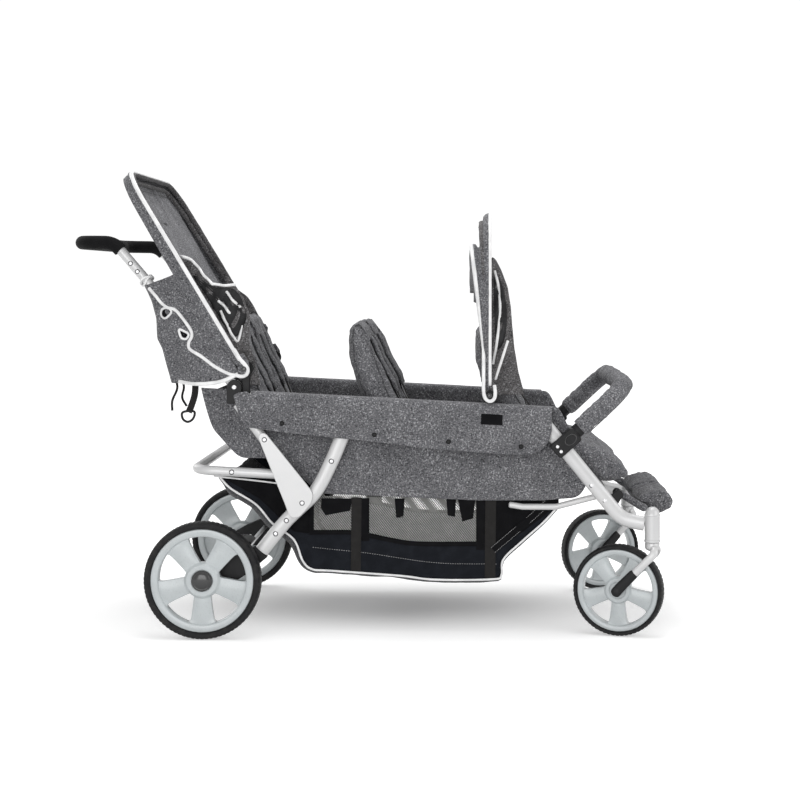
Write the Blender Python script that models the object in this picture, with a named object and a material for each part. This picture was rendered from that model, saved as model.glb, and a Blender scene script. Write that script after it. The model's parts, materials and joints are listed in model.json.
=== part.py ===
"""Six-seat stroller: three rows of two seats in one long fabric tub, on a tube chassis.

X points the way the children face, Z up, and the origin is on the floor under the middle
of the length. Sizes are metres. Left is +Y, right is -Y.
"""
import math

import bmesh
import bpy
from mathutils import Matrix, Vector

for old in list(bpy.data.objects):
    bpy.data.objects.remove(old, do_unlink=True)

# Clearances
seat_gap = 0.0003          # between pieces that rest on each other
pin_gap = 0.0003           # round a pin in its hole

# Overall
overall_length = 1.58
rear_end_x = -overall_length / 2
front_end_x = overall_length / 2

# Side frame: rails, legs and struts stand in one upright plane on each side
frame_y = 0.3215           # middle of the side tubes
rail_radius = 0.0142
leg_width = 0.037          # along the side view
leg_depth = 0.022          # across the stroller
tub_half_width = 0.302     # outside of the fabric tub
tub_wall = 0.012
flap_outer_y = 0.341
flap_cloth = 0.0044
flap_top_at_origin = 0.616
flap_slope = -0.0525       # the top edge falls towards the front
rail_rear_x = -0.3202
rail_front_x = 0.418
flap_rear_x = -0.318
flap_front_x = 0.452

# Rows of seats
row_pitch = 0.335
row_offsets = {"rear": -row_pitch, "middle": 0.0, "front": row_pitch}
seat_centre_y = 0.145
seat_half_width = 0.125
platform_top = 0.4550
cushion_height = 0.040
back_top = 0.821

# Rear wheels
rear_axle_x = -0.436
rear_tyre_radius = 0.150
rear_rim_radius = 0.1317
rear_wheel_y = 0.3565
wheel_width = 0.044
axle_radius = 0.0070
hub_cap_radius = 0.0268

# Front casters
front_tyre_radius = 0.1175
front_rim_radius = 0.1055
caster_x = 0.717
caster_y = 0.340
caster_trail = 0.088
caster_yaw = math.radians(16)
housing_radius = 0.020
housing_bottom = 0.2445
housing_top = 0.317
stem_radius = 0.0060
front_axle_radius = 0.0040

# Handle
handle_hinge = (-0.359, 0.642)
handle_arm_top = (rear_end_x + 0.189, 0.927)
handle_bend = (rear_end_x + 0.135, 0.991)
handle_height = 1.016
handle_arm_y = 0.293
handle_tube_radius = 0.0125
grip_radius = 0.0185
grip_wall_gap = 0.0003
hinge_head_radius = 0.0170

# Canopies
canopy_pin_radius = 0.0040
bow_thickness = 0.0040
bow_width = 0.010
bow_corner = 0.100
main_bow_y = 0.3332
mid_bow_y = 0.3282
rear_canopy_pivot = (-0.333, 0.689)
rear_main_angle = math.radians(121.1)
rear_mid_length = 0.584
rear_bow_step = 0.014      # from the middle bow out to the main one
rear_main_length = rear_mid_length + rear_bow_step
rear_mid_angle = math.radians(123.0)
front_canopy_pivot = (0.299, 0.621)
front_main_angle = math.radians(90.0)
front_mid_length = 0.450
front_bow_step = 0.019
front_main_length = front_mid_length + front_bow_step
front_mid_angle = math.radians(92.6)
front_fixed_length = 0.391
front_fixed_angle = math.radians(96.9)
knob_radius = 0.016

# Bumper bar
bumper_angle = math.radians(43.0)
bumper_foot = (0.5105, 0.5150)
bumper_tube_radius = 0.0110
bumper_pad_radius = 0.0250
bumper_arm_length = 0.190
socket_centre = (0.495, 0.499)
socket_length = 0.076
socket_width = 0.043

# Footrest
footrest_pivot = (0.632, 0.363)

finishes = {
    "frame_paint": ((0.72, 0.73, 0.74), 0.32, 0.75),
    "fabric": ((0.14, 0.15, 0.16), 0.95, 0.0),
    "mesh_fabric": ((0.02, 0.02, 0.022), 0.9, 0.0),
    "black_plastic": ((0.02, 0.02, 0.022), 0.45, 0.0),
    "grip_foam": ((0.018, 0.018, 0.02), 0.85, 0.0),
    "rim_plastic": ((0.55, 0.62, 0.66), 0.35, 0.0),
    "tyre": ((0.03, 0.03, 0.032), 0.8, 0.0),
    "steel": ((0.5, 0.5, 0.5), 0.3, 1.0),
}

up_y = Vector((0, 1, 0))


def flap_top(x):
    return flap_top_at_origin + flap_slope * x


def rail_height(x):
    return flap_top(x) - flap_cloth - seat_gap - rail_radius


def side_point(point, y):
    return Vector((point[0], y, point[1]))


# Making objects

def finish(name, bm, slot, pivot=(0, 0, 0), sharp=35):
    """A closed mesh becomes one object, with its origin on the pivot."""
    bmesh.ops.remove_doubles(bm, verts=bm.verts, dist=1e-6)
    bmesh.ops.recalc_face_normals(bm, faces=bm.faces)
    bmesh.ops.translate(bm, verts=bm.verts, vec=-Vector(pivot))
    mesh = bpy.data.meshes.new(name)
    bm.to_mesh(mesh)
    bm.free()
    mesh.shade_smooth()
    mesh.set_sharp_from_angle(angle=math.radians(sharp))
    obj = bpy.data.objects.new(name, mesh)
    obj.location = pivot
    bpy.context.collection.objects.link(obj)
    colour, roughness, metallic = finishes[slot]
    material = bpy.data.materials.new(name)
    material.use_nodes = True
    shader = material.node_tree.nodes["Principled BSDF"]
    shader.inputs["Base Color"].default_value = (*colour, 1)
    shader.inputs["Roughness"].default_value = roughness
    shader.inputs["Metallic"].default_value = metallic
    mesh.materials.append(material)
    return obj


def boolean(obj, bm, operation):
    """Joins a helper shape to an object or cuts it away; the helper stays hidden."""
    count = len(obj.modifiers)
    helper = finish(obj.name + "_helper_" + str(count), bm, "steel")
    helper.hide_render = True
    helper.display_type = "WIRE"
    step = obj.modifiers.new(operation.lower() + str(count), "BOOLEAN")
    step.operation = operation
    step.object = helper
    step.solver = "EXACT"


def fuse(obj, bm):
    boolean(obj, bm, "UNION")


def cut(obj, bm):
    boolean(obj, bm, "DIFFERENCE")


# Shapes

def circle(radius, count=12):
    return oval(2 * radius, 2 * radius, count)


def oval(width, depth, count=12):
    """A section: its first coordinate runs along the side vector of a sweep."""
    step = 2 * math.pi / count
    return [
        (depth / 2 * math.cos(step * (i + 0.5)), width / 2 * math.sin(step * (i + 0.5)))
        for i in range(count)
    ]


def strip(width, depth):
    """A flat bar's section."""
    a = depth / 2
    b = width / 2
    return [(a, -b), (a, b), (-a, b), (-a, -b)]


def rounded_path(corners, radii, steps=6):
    """The corners of a path, with each inner corner turned into an arc."""
    points = [Vector(corners[0])]
    for before, corner, after, radius in zip(corners, corners[1:], corners[2:], radii):
        before, corner, after = Vector(before), Vector(corner), Vector(after)
        into = (before - corner).normalized()
        out = (after - corner).normalized()
        half = into.angle(out) / 2
        reach = radius / math.tan(half)
        centre = corner + (into + out).normalized() * (radius / math.sin(half))
        first = corner + into * reach - centre
        last = corner + out * reach - centre
        turn = first.angle(last)
        axis = first.cross(last).normalized()
        for i in range(steps + 1):
            points.append(centre + Matrix.Rotation(turn * i / steps, 3, axis) @ first)
    points.append(Vector(corners[-1]))
    return points


def smooth_path(points, pieces=4):
    """A smooth curve through the points."""
    points = [Vector(p) for p in points]
    ends = [2 * points[0] - points[1]] + points + [2 * points[-1] - points[-2]]
    path = []
    for a, b, c, d in zip(ends, ends[1:], ends[2:], ends[3:]):
        for i in range(pieces):
            t = i / pieces
            path.append(0.5 * ((2 * b) + (c - a) * t + (2 * a - 5 * b + 4 * c - d) * t * t
                               + (3 * b - a - 3 * c + d) * t ** 3))
    path.append(points[-1])
    return path


def path_frames(points, side):
    """A side vector and a third vector at each point, turned as little as the path allows."""
    frames = []
    side = Vector(side)
    for i, point in enumerate(points):
        before = points[max(i - 1, 0)]
        after = points[min(i + 1, len(points) - 1)]
        into = (point - before).normalized() if i else (after - point).normalized()
        out = (after - point).normalized() if i < len(points) - 1 else into
        tangent = (into + out).normalized()
        side = (side - tangent * side.dot(tangent)).normalized()
        stretch = 1 / max(math.cos(into.angle(out, 0) / 2), 0.5)
        frames.append((point, side, side.cross(tangent), stretch))
    return frames


def ring_of(bm, frame, section, scale=(1, 1)):
    point, side, third, _ = frame
    return [bm.verts.new(point + side * a * scale[0] + third * b * scale[1]) for a, b in section]


def skin(bm, first, second):
    count = len(first)
    for i in range(count):
        j = (i + 1) % count
        bm.faces.new((first[i], first[j], second[j], second[i]))


def sweep(points, section, side=up_y, scales=None, bore=None):
    """A section carried along a path, with flat ends and, for a sleeve, a bore."""
    bm = bmesh.new()
    frames = path_frames(points, side)
    scales = scales or [(1, 1)] * len(points)
    outer = [ring_of(bm, f, section, s) for f, s in zip(frames, scales)]
    for first, second in zip(outer, outer[1:]):
        skin(bm, first, second)
    if bore is None:
        bm.faces.new(outer[0])
        bm.faces.new(reversed(outer[-1]))
        return bm
    inner = [ring_of(bm, f, bore) for f in frames]
    for first, second in zip(inner, inner[1:]):
        skin(bm, second, first)
    skin(bm, outer[-1], inner[-1])
    skin(bm, inner[0], outer[0])
    return bm


def plate(outline, y_low, y_high):
    """A side-view outline given thickness across the stroller."""
    bm = bmesh.new()
    low = [bm.verts.new((x, y_low, z)) for x, z in outline]
    high = [bm.verts.new((x, y_high, z)) for x, z in outline]
    bm.faces.new(low)
    bm.faces.new(reversed(high))
    skin(bm, low, high)
    return bm


def turned(profile, centre, axis=up_y, count=24, ring=False):
    """A profile of (radius, height) pairs turned about an axis through the centre."""
    bm = bmesh.new()
    turn = Vector((0, 0, 1)).rotation_difference(Vector(axis)).to_matrix().to_4x4()
    place = Matrix.Translation(Vector(centre)) @ turn
    rings = []
    for radius, height in profile:
        rings.append([
            bm.verts.new(place @ Vector((radius * math.cos(2 * math.pi * (i + 0.5) / count),
                                         radius * math.sin(2 * math.pi * (i + 0.5) / count), height)))
            for i in range(count)
        ])
    for first, second in zip(rings, rings[1:]):
        skin(bm, first, second)
    if ring:
        skin(bm, rings[-1], rings[0])
    else:
        bm.faces.new(rings[0])
        bm.faces.new(reversed(rings[-1]))
    return bm


def rod(centre, radius, low, high, axis=up_y, count=16):
    return turned([(radius, low), (radius, high)], centre, axis, count)


def arc(centre, radius, start, end, steps):
    return [
        (centre[0] + radius * math.cos(math.radians(start + (end - start) * i / steps)),
         centre[1] + radius * math.sin(math.radians(start + (end - start) * i / steps)))
        for i in range(steps + 1)
    ]


def ribbon(points, thickness):
    """The outline of a bent sheet seen from its edge."""
    points = [Vector(p) for p in points]
    normals = []
    for i, point in enumerate(points):
        before = points[max(i - 1, 0)]
        after = points[min(i + 1, len(points) - 1)]
        into = (point - before).normalized() if i else (after - point).normalized()
        out = (after - point).normalized() if i < len(points) - 1 else into
        along = (into + out).normalized()
        width = thickness / 2 / max(math.cos(into.angle(out, 0) / 2), 0.4)
        normals.append(Vector((-along.y, along.x)) * width)
    upper = [p + n for p, n in zip(points, normals)]
    lower = [p - n for p, n in zip(points, normals)]
    return [tuple(p) for p in upper + lower[::-1]]


def puffed(outline, stations, anchor):
    """A stuffed shape: its side outline is carried across, drawn in towards the anchor."""
    bm = bmesh.new()
    rings = []
    for y, grow_x, grow_z in stations:
        rings.append([
            bm.verts.new((anchor[0] + (x - anchor[0]) * grow_x, y,
                          anchor[1] + (z - anchor[1]) * grow_z))
            for x, z in outline
        ])
    for first, second in zip(rings, rings[1:]):
        skin(bm, first, second)
    bm.faces.new(rings[0])
    bm.faces.new(reversed(rings[-1]))
    return bm


def mirrored(bm, sign):
    """The shape as built for the left side, or its mirror image for the right."""
    if sign < 0:
        bmesh.ops.scale(bm, vec=(1, -1, 1), verts=bm.verts)
        bmesh.ops.reverse_faces(bm, faces=bm.faces)
    return bm


sides = (("left", 1), ("right", -1))


# Side frame

rear_leg_points = [(-0.0495, rail_height(-0.0495)), (-0.086, 0.505), (-0.109, 0.451),
                   (-0.152, 0.370), (-0.225, 0.298), (-0.290, 0.218)]
front_leg_top = (0.4105, rail_height(0.4105))
front_leg_bend = (0.640, 0.300)
strut_pivot = (-0.184, 0.344)
strut_top = (-0.3583, 0.6070)
strut_foot = (-0.279, 0.500)
strut_y = frame_y + 0.0013
strut_plate_y = frame_y + leg_depth / 2 + 0.0008
strut_plate_thickness = 0.0060


def rail_line(y, radius, low=rail_rear_x, high=rail_front_x):
    points = [Vector((x, y, rail_height(x))) for x in (low, high)]
    return sweep(points, circle(radius, 16))


def make_side_rail(side, sign):
    bm = rail_line(frame_y, rail_radius)
    finish("side_rail_" + side, mirrored(bm, sign), "frame_paint")


def rear_leg_path():
    return smooth_path([side_point(p, frame_y) for p in rear_leg_points], 2)


def make_rear_leg(side, sign):
    shape = sweep(rear_leg_path(), oval(leg_width, leg_depth))
    leg = finish("rear_leg_" + side, mirrored(shape, sign), "frame_paint")
    reach = 0.2
    cut(leg, mirrored(rail_line(frame_y, rail_radius + seat_gap, rear_leg_points[0][0] - reach,
                                rear_leg_points[0][0] + reach), sign))


front_leg_tip = (caster_x, 0.288)


def front_leg_path():
    """Straight down from the rail, then bent level and outwards to the caster housing."""
    corners = [side_point(front_leg_top, frame_y), side_point(front_leg_bend, frame_y + 0.003)]
    corners.append(Vector((front_leg_tip[0], caster_y, front_leg_tip[1])))
    return rounded_path(corners, [0.075], 6)


def front_leg_shape(extra=0.0):
    section = oval(leg_width + 2 * extra, leg_depth + 2 * extra)
    return sweep(front_leg_path(), section)


def make_front_leg(side, sign):
    leg = finish("front_leg_" + side, mirrored(front_leg_shape(), sign), "frame_paint")
    lug = arc(footrest_pivot, 0.012, -60, 140, 8) + [(0.600, 0.352), (0.620, 0.322)]
    fuse(leg, mirrored(plate(lug, frame_y - leg_depth / 2, frame_y + 0.003), sign))
    cut(leg, mirrored(rail_line(frame_y, rail_radius + seat_gap, 0.2, 0.6), sign))
    housing = (caster_x, sign * caster_y, 0)
    cut(leg, rod(housing, housing_radius + 2 * seat_gap, 0.2, 0.4, (0, 0, 1), 16))


def make_handle_strut(side, sign):
    """A tube under the flap that ends in the tapered plate on the rear leg."""
    path = [side_point(strut_top, strut_y), side_point(strut_foot, strut_y)]
    strut = finish("handle_strut_" + side, mirrored(sweep(path, oval(0.026, 0.024)), sign),
                   "frame_paint")
    outline = [(-0.297, 0.512), (-0.288, 0.524), (-0.274, 0.521), (-0.172, 0.392),
               (-0.157, 0.371), (-0.160, 0.344), (-0.188, 0.311), (-0.206, 0.306),
               (-0.220, 0.318), (-0.226, 0.336)]
    fuse(strut, mirrored(plate(outline, strut_plate_y, strut_plate_y + strut_plate_thickness), sign))
    over = [(-0.400, hinge_block_bottom - seat_gap), (-0.300, hinge_block_bottom - seat_gap),
            (-0.300, 0.650), (-0.400, 0.650)]
    cut(strut, mirrored(plate(over, strut_y - leg_depth, strut_y + leg_depth), sign))
    boss_low = frame_y + leg_depth / 2 + seat_gap
    pivot = side_point(strut_pivot, 0)
    head = [(0.012, boss_low), (0.012, strut_plate_y + 0.001),
            (0.0065, strut_plate_y + strut_plate_thickness - 0.001),
            (0.0065, strut_plate_y + strut_plate_thickness + 0.0025)]
    fuse(strut, mirrored(turned(head, pivot, up_y, 16), sign))


# Fold hinge of the handle, with the rear canopy's post and pin

clevis_inner = (0.3028, 0.3070)
clevis_outer = (0.3336, 0.3385)
clevis_middle = (clevis_inner[1] + clevis_outer[0]) / 2
hinge_block_bottom = 0.5990
rail_end_gap = 0.0010      # the rail's end is cut square to its slope
post_y = (0.3085, 0.3255)


def pivot_stack(pivot, sign, low):
    """A canopy's pin and the knob on its end."""
    knob_low = main_bow_y + bow_thickness / 2 + seat_gap + 0.0002
    profile = [(canopy_pin_radius, low), (canopy_pin_radius, knob_low), (knob_radius, knob_low),
               (knob_radius, knob_low + 0.0060), (knob_radius - 0.003, knob_low + 0.0090)]
    return mirrored(turned(profile, side_point(pivot, 0), up_y, 16), sign)


def make_fold_hinge(side, sign):
    x, z = handle_hinge
    cheek = [(x + 0.019, hinge_block_bottom)] + arc((x, z), 0.019, -10, 190, 10)
    cheek += [(x - 0.019, hinge_block_bottom)]
    hinge = finish("fold_hinge_" + side, mirrored(plate(cheek, *clevis_outer), sign),
                   "black_plastic")
    fuse(hinge, mirrored(plate(cheek, *clevis_inner), sign))
    right = rail_rear_x - rail_end_gap
    low = hinge_block_bottom + 0.0005
    block = [(x - 0.0185, low), (right, low), (right, 0.6220), (x - 0.0040, 0.6220),
             (x - 0.0185, 0.6100)]
    fuse(hinge, mirrored(plate(block, clevis_inner[0] + 0.0005, clevis_outer[1] - 0.0005), sign))
    fuse(hinge, mirrored(rod(side_point(handle_hinge, 0), canopy_pin_radius,
                             clevis_inner[0] + 0.001, clevis_outer[1] - 0.001), sign))
    px, pz = rear_canopy_pivot
    post = [(right, 0.6150), (right, 0.6700)]
    post += arc((px, pz), 0.0105, -20, 200, 8)
    post += [(-0.3400, 0.6750), (-0.3400, 0.6150)]
    fuse(hinge, mirrored(plate(post, *post_y), sign))
    fuse(hinge, pivot_stack(rear_canopy_pivot, sign, post_y[1] - 0.002))


# Handle

def handle_path():
    arm = [side_point(handle_hinge, clevis_middle), side_point(handle_arm_top, handle_arm_y + 0.003)]
    corner_x = rear_end_x + grip_radius
    top = [side_point((handle_bend[0] - 0.022, handle_height - 0.001), handle_arm_y),
           Vector((corner_x, handle_arm_y, handle_height))]
    left = [arm[0], arm[1]] + top
    right = [Vector((p.x, -p.y, p.z)) for p in reversed(left)]
    return rounded_path(left + right, [0.5, 0.055, 0.055, 0.055, 0.055, 0.5], 3)


def handle_arm_x(z):
    """Where the handle's straight arm stands at a height."""
    rise = (z - handle_hinge[1]) / (handle_arm_top[1] - handle_hinge[1])
    return handle_hinge[0] + (handle_arm_top[0] - handle_hinge[0]) * rise


def make_handle():
    pivot = side_point(handle_hinge, 0)
    path = handle_path()
    tube = finish("handle_tube", sweep(path, circle(handle_tube_radius, 8)), "frame_paint", pivot)
    for side, sign in sides:
        low = clevis_middle - handle_tube_radius
        high = clevis_middle + handle_tube_radius
        fuse(tube, mirrored(rod(pivot, hinge_head_radius, low, high, up_y, 20), sign))
    cut(tube, rod(pivot, canopy_pin_radius + pin_gap, -0.4, 0.4, up_y, 12))
    grip_points = [p for p in path if p.x < handle_arm_top[0] - 0.035]
    finish("handle_grip", sweep(grip_points, circle(grip_radius, 8),
                                bore=circle(handle_tube_radius + grip_wall_gap, 8)),
           "grip_foam", pivot)


# Tub, flaps and seats

def floor_line():
    """The tub's floor from the rear wall forwards: seat platforms with footwells between."""
    well = [(-0.345, 0.4685), (-0.163, 0.4685)]
    line = [(-0.4405, 0.6220), (-0.4120, 0.5450), (-0.3800, 0.5060)] + well
    for offset, deep in ((0.0, 0.370), (row_pitch, 0.358)):
        front = row_offsets["middle"] + offset
        line += [(front - 0.142, 0.4480 if offset else 0.4560), (front - 0.120, deep + 0.008),
                 (front - 0.105, deep), (front + 0.008, deep - 0.003), (front + 0.024, deep + 0.006),
                 (front + 0.034, platform_top - 0.006), (front + 0.042, platform_top - 0.003)]
        if not offset:
            line += [(row_pitch - 0.155, platform_top - 0.003)]
    line += [(0.520, platform_top - 0.003)]
    return line


def make_tub():
    wall = [(-0.4500, flap_top(-0.45) - 0.001), (-0.4420, 0.6000), (-0.4220, 0.5340),
            (-0.3900, 0.4980), (-0.3560, 0.4610), (-0.2500, 0.4570), (-0.2300, 0.4460),
            (-0.1560, 0.3740), (-0.1360, 0.3630), (0.0450, 0.3550), (0.2700, 0.3450),
            (0.4390, 0.3450), (0.5340, 0.3560), (0.5480, 0.3830), (0.5380, 0.4600),
            (0.4840, 0.5800), (0.4740, flap_top(0.474) - 0.001)]
    low = tub_half_width - tub_wall
    tub = finish("seat_tub", plate(wall, low, tub_half_width), "fabric")
    fuse(tub, plate(wall, -tub_half_width, -low))
    outline = ribbon(floor_line(), 0.006)
    fuse(tub, plate(outline, -low - tub_wall / 2, low + tub_wall / 2))


def flap_hem(x):
    """The flap's lower edge: lowest ahead of the middle, with shallow scallops between snaps."""
    t = (x - flap_rear_x) / (flap_front_x - flap_rear_x)
    line = 0.527 - 0.062 * t ** 0.8
    scallop = 0.0025 * math.cos(t * 10 * math.pi)
    rear_round = 0.030 * math.exp(-((x - flap_rear_x) / 0.020) ** 2) * 0.3
    front_round = 0.034 * max(0.0, (x - 0.405) / (flap_front_x - 0.405)) ** 2
    return line + scallop + rear_round + front_round


def make_side_flap(side, sign):
    """The tub's cloth turned over the rail and hanging outside it."""
    bm = bmesh.new()
    rings = []
    inner = tub_half_width + seat_gap
    steps = 15
    for i in range(steps + 1):
        x = flap_rear_x + (flap_front_x - flap_rear_x) * i / steps
        top = flap_top(x)
        hem = flap_hem(x)
        swell = 0.0015 * math.cos(10 * math.pi * i / steps)
        outline = [(inner, top - 0.030), (inner, top - 0.003), (inner + 0.003, top),
                   (flap_outer_y - 0.004, top), (flap_outer_y, top - 0.004),
                   (flap_outer_y + swell, (top + hem) / 2), (flap_outer_y, hem),
                   (flap_outer_y - flap_cloth, hem), (flap_outer_y - flap_cloth, top - flap_cloth),
                   (inner + flap_cloth, top - flap_cloth), (inner + flap_cloth, top - 0.030)]
        rings.append([bm.verts.new((x, y, z)) for y, z in outline])
    for first, second in zip(rings, rings[1:]):
        skin(bm, first, second)
    bm.faces.new(rings[0])
    bm.faces.new(reversed(rings[-1]))
    finish("side_flap_" + side, mirrored(bm, sign), "fabric")


back_outline = [(0.046, 0.4955), (0.020, 0.530), (-0.028, 0.600), (-0.052, 0.650),
                (-0.0705, 0.722), (-0.073, 0.787), (-0.066, 0.808), (-0.048, back_top),
                (-0.035, 0.812), (-0.026, 0.778), (-0.002, 0.720), (0.034, 0.650),
                (0.058, 0.600), (0.084, 0.540), (0.088, 0.505), (0.078, 0.4955)]


def make_seat_back(row, side, sign):
    offset = row_offsets[row]
    drop = 0.0155 * offset / row_pitch
    bottom = back_outline[0][1]
    top = [(x + offset, z - drop * (z - bottom) / (back_top - bottom)) for x, z in back_outline]
    stations = []
    for share, grow_x, grow_z in ((-1.0, 0.50, 0.80), (-0.95, 0.72, 0.90), (-0.80, 0.92, 0.97),
                                  (-0.42, 1.0, 1.0), (0.0, 0.97, 1.0), (0.42, 1.0, 1.0),
                                  (0.80, 0.92, 0.97), (0.95, 0.72, 0.90), (1.0, 0.50, 0.80)):
        y = sign * seat_centre_y + share * seat_half_width
        stations.append((y, grow_x, grow_z))
    anchor = (0.040 + offset, bottom)
    finish("seat_back_" + row + "_" + side, puffed(top, stations, anchor), "fabric")


def cushion_stations(inner_draw):
    half = seat_centre_y + seat_half_width + 0.012
    shares = ((1.0, 0.80, 0.60), (0.97, 0.93, 0.85), (0.88, 0.99, 0.97), (0.5, 1.0, 1.0),
              (0.10, 1.0, 0.97), (0.02, 0.99, inner_draw))
    left = [(-half * s, gx, gz) for s, gx, gz in shares]
    right = [(-y, gx, gz) for y, gx, gz in reversed(left)]
    return left + right


def make_cushion(row):
    offset = row_offsets[row]
    low = platform_top + seat_gap
    high = low + cushion_height - seat_gap
    if row == "rear":
        low += 0.0168
    outline = [(0.046, low), (0.043, (low + high) / 2), (0.047, high - 0.004), (0.054, high),
               (0.118, high), (0.150, high + 0.004), (0.180, high + 0.001), (0.197, high - 0.010),
               (0.200, (low + high) / 2), (0.190, low)]
    if row == "rear":
        outline = [(x if x < 0.19 else x - 0.018, z) for x, z in outline]
    if row == "front":
        outline = outline[:6] + [(0.180, high + 0.004), (0.212, high - 0.002), (0.240, high - 0.014),
                                 (0.262, high - 0.016), (0.272, high - 0.026), (0.296, high - 0.046),
                                 (0.318, high - 0.063), (0.337, high - 0.084), (0.334, high - 0.100),
                                 (0.320, high - 0.108), (0.262, high - 0.109), (0.222, high - 0.080),
                                 (0.1905, low - 0.018), (0.1880, low)]
    outline = [(x + offset, z) for x, z in outline]
    anchor = (sum(x for x, z in outline) / len(outline), low)
    draw = 0.80
    finish("seat_cushion_" + row, puffed(outline, cushion_stations(draw), anchor), "fabric")


# Basket and the tubes that carry it

basket_wall = 0.004
basket_tube_radius = 0.0125
front_tube_radius = 0.0080
front_tube_y = frame_y - leg_depth / 2 - front_tube_radius - seat_gap
basket_half_width = front_tube_y - front_tube_radius - seat_gap


def make_basket():
    """A sling with closed sides, open at the top between the tub and its upper edge."""
    under = [(-0.405, 0.4000), (-0.374, 0.3700), (-0.309, 0.3300), (-0.265, 0.2800),
             (-0.210, 0.2370), (-0.186, 0.1840), (-0.160, 0.1580), (-0.020, 0.1480),
             (0.157, 0.1360), (0.305, 0.1370), (0.334, 0.1480), (0.334, 0.1860),
             (0.387, 0.2370), (0.440, 0.2840), (0.474, 0.3180)]
    bm = bmesh.new()
    rings = []
    upper = {}
    count = len(under) - 1
    for i, (x, z) in enumerate(under):
        brim = 0.3960 + (0.3360 - 0.3960) * min(1.0, max(0.0, (x + 0.24) / 0.10))
        if x < -0.24:
            brim = 0.4060
        brim = max(brim, z + 0.016)
        wide = basket_half_width
        base = wide - 0.012
        wall = basket_wall
        section = [(-wide, brim), (-wide, z + 0.014), (-base, z), (base, z), (wide, z + 0.014),
                   (wide, brim), (wide - wall, brim), (wide - wall, z + 0.015),
                   (base - 0.002, z + wall), (-base + 0.002, z + wall), (-wide + wall, z + 0.015),
                   (-wide + wall, brim)]
        section = [(y, max(h, z) if h != brim else brim) for y, h in section]
        rings.append([bm.verts.new((x, y, h)) for y, h in section])
    for first, second in zip(rings, rings[1:]):
        skin(bm, first, second)
    bm.faces.new(rings[0])
    bm.faces.new(reversed(rings[-1]))
    finish("storage_basket", bm, "mesh_fabric")


def make_basket_frames():
    y = frame_y - 0.0010
    rear = [(-0.2300, y, 0.4150), (-0.4640, y, 0.4280), (-0.4640, -y, 0.4280), (-0.2300, -y, 0.4150)]
    finish("basket_frame_rear", sweep(rounded_path(rear, [0.050, 0.050], 4),
                                      circle(basket_tube_radius, 10)), "frame_paint")
    inside = front_tube_y
    half = [(0.352, inside, 0.3350), (0.385, inside, 0.3295), (0.471, inside, 0.3295),
            (0.602, inside + 0.0034, 0.3640)]
    front = half + [(x, -yy, z) for x, yy, z in reversed(half)]
    radii = [0.040, 0.060, 0.020, 0.020, 0.060, 0.040]
    shape = sweep(rounded_path(front, radii, 2), circle(front_tube_radius, 8))
    finish("basket_frame_front", shape, "frame_paint")


# Rear axle, feet, brake and wheels

brake_axis = (-0.361, 0.187)
brake_rod_radius = 0.0060
foot_y = (0.3060, 0.3340)


def make_rear_foot(side, sign):
    """The moulded foot that joins a rear leg to the axle."""
    axle = (rear_axle_x, rear_tyre_radius)
    before, end = rear_leg_path()[-2:]
    along = Vector((end.x - before.x, end.z - before.z)).normalized()
    across = Vector((-along.y, along.x))
    start = Vector((end.x, end.z)) + along * (seat_gap + 0.0002)
    wide = leg_width / 2 + 0.003
    outline = [tuple(start - across * wide), tuple(start + across * wide),
               (-0.330, 0.158), (-0.372, 0.132)]
    outline += arc(axle, 0.026, -60, -250, 8)
    outline += [(-0.418, 0.190), (-0.365, 0.212)]
    foot = finish("rear_foot_" + side, mirrored(plate(outline, *foot_y), sign), "black_plastic")
    cut(foot, mirrored(rod(side_point(axle, 0), axle_radius + pin_gap, 0.2, 0.4), sign))
    cut(foot, mirrored(rod(side_point(brake_axis, 0), brake_rod_radius + pin_gap, 0.2, 0.318), sign))


def make_rear_axle():
    half = rear_wheel_y + 0.0155
    cap_low = half + seat_gap
    left = [(axle_radius, cap_low), (hub_cap_radius, cap_low), (hub_cap_radius, cap_low + 0.0045),
            (hub_cap_radius - 0.006, cap_low + 0.0090)]
    right = [(radius, -height) for radius, height in reversed(left)]
    centre = side_point((rear_axle_x, rear_tyre_radius), 0)
    finish("rear_axle", turned(right + left, centre, up_y, 20), "steel")


def make_brake_pedal():
    pivot = side_point(brake_axis, 0)
    half = 0.3175
    pedal = finish("brake_pedal", rod(pivot, brake_rod_radius, -half, half, up_y, 12),
                   "black_plastic", pivot)
    x, z = brake_axis
    outline = [(x + 0.006, z + 0.008), (x - 0.010, z + 0.016), (x - 0.062, z + 0.018),
               (x - 0.068, z + 0.012), (x - 0.060, z + 0.006), (x - 0.012, z - 0.004),
               (x + 0.004, z - 0.008)]
    fuse(pedal, plate(outline, -0.050, 0.050))


def tyre_profile(radius, rim_radius, count):
    """The tyre's section: tread, shoulders, sidewalls and the seat on the rim."""
    flat = math.cos(math.pi / count)
    seat = (rim_radius + seat_gap) / flat
    radius /= flat
    half = wheel_width / 2
    wall = radius - seat
    return [(seat, half * 0.80), (seat + wall * 0.45, half), (radius - 0.0035, half * 0.80),
            (radius, half * 0.40), (radius, -half * 0.40), (radius - 0.0035, -half * 0.80),
            (seat + wall * 0.45, -half), (seat, -half * 0.80)]


def rim_levels(radius, bore, hub):
    """Radius, outer face and inner face from the bore out to the tyre's seat."""
    ring = radius * 0.85
    return [(bore, 0.0155, -0.0185), (hub * 0.66, 0.0155, -0.0185), (hub, 0.0120, -0.0080),
            (ring, 0.0115, -0.0085), (ring + 0.0060, 0.0175, -0.0175), (radius, 0.0176, -0.0176)]


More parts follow.
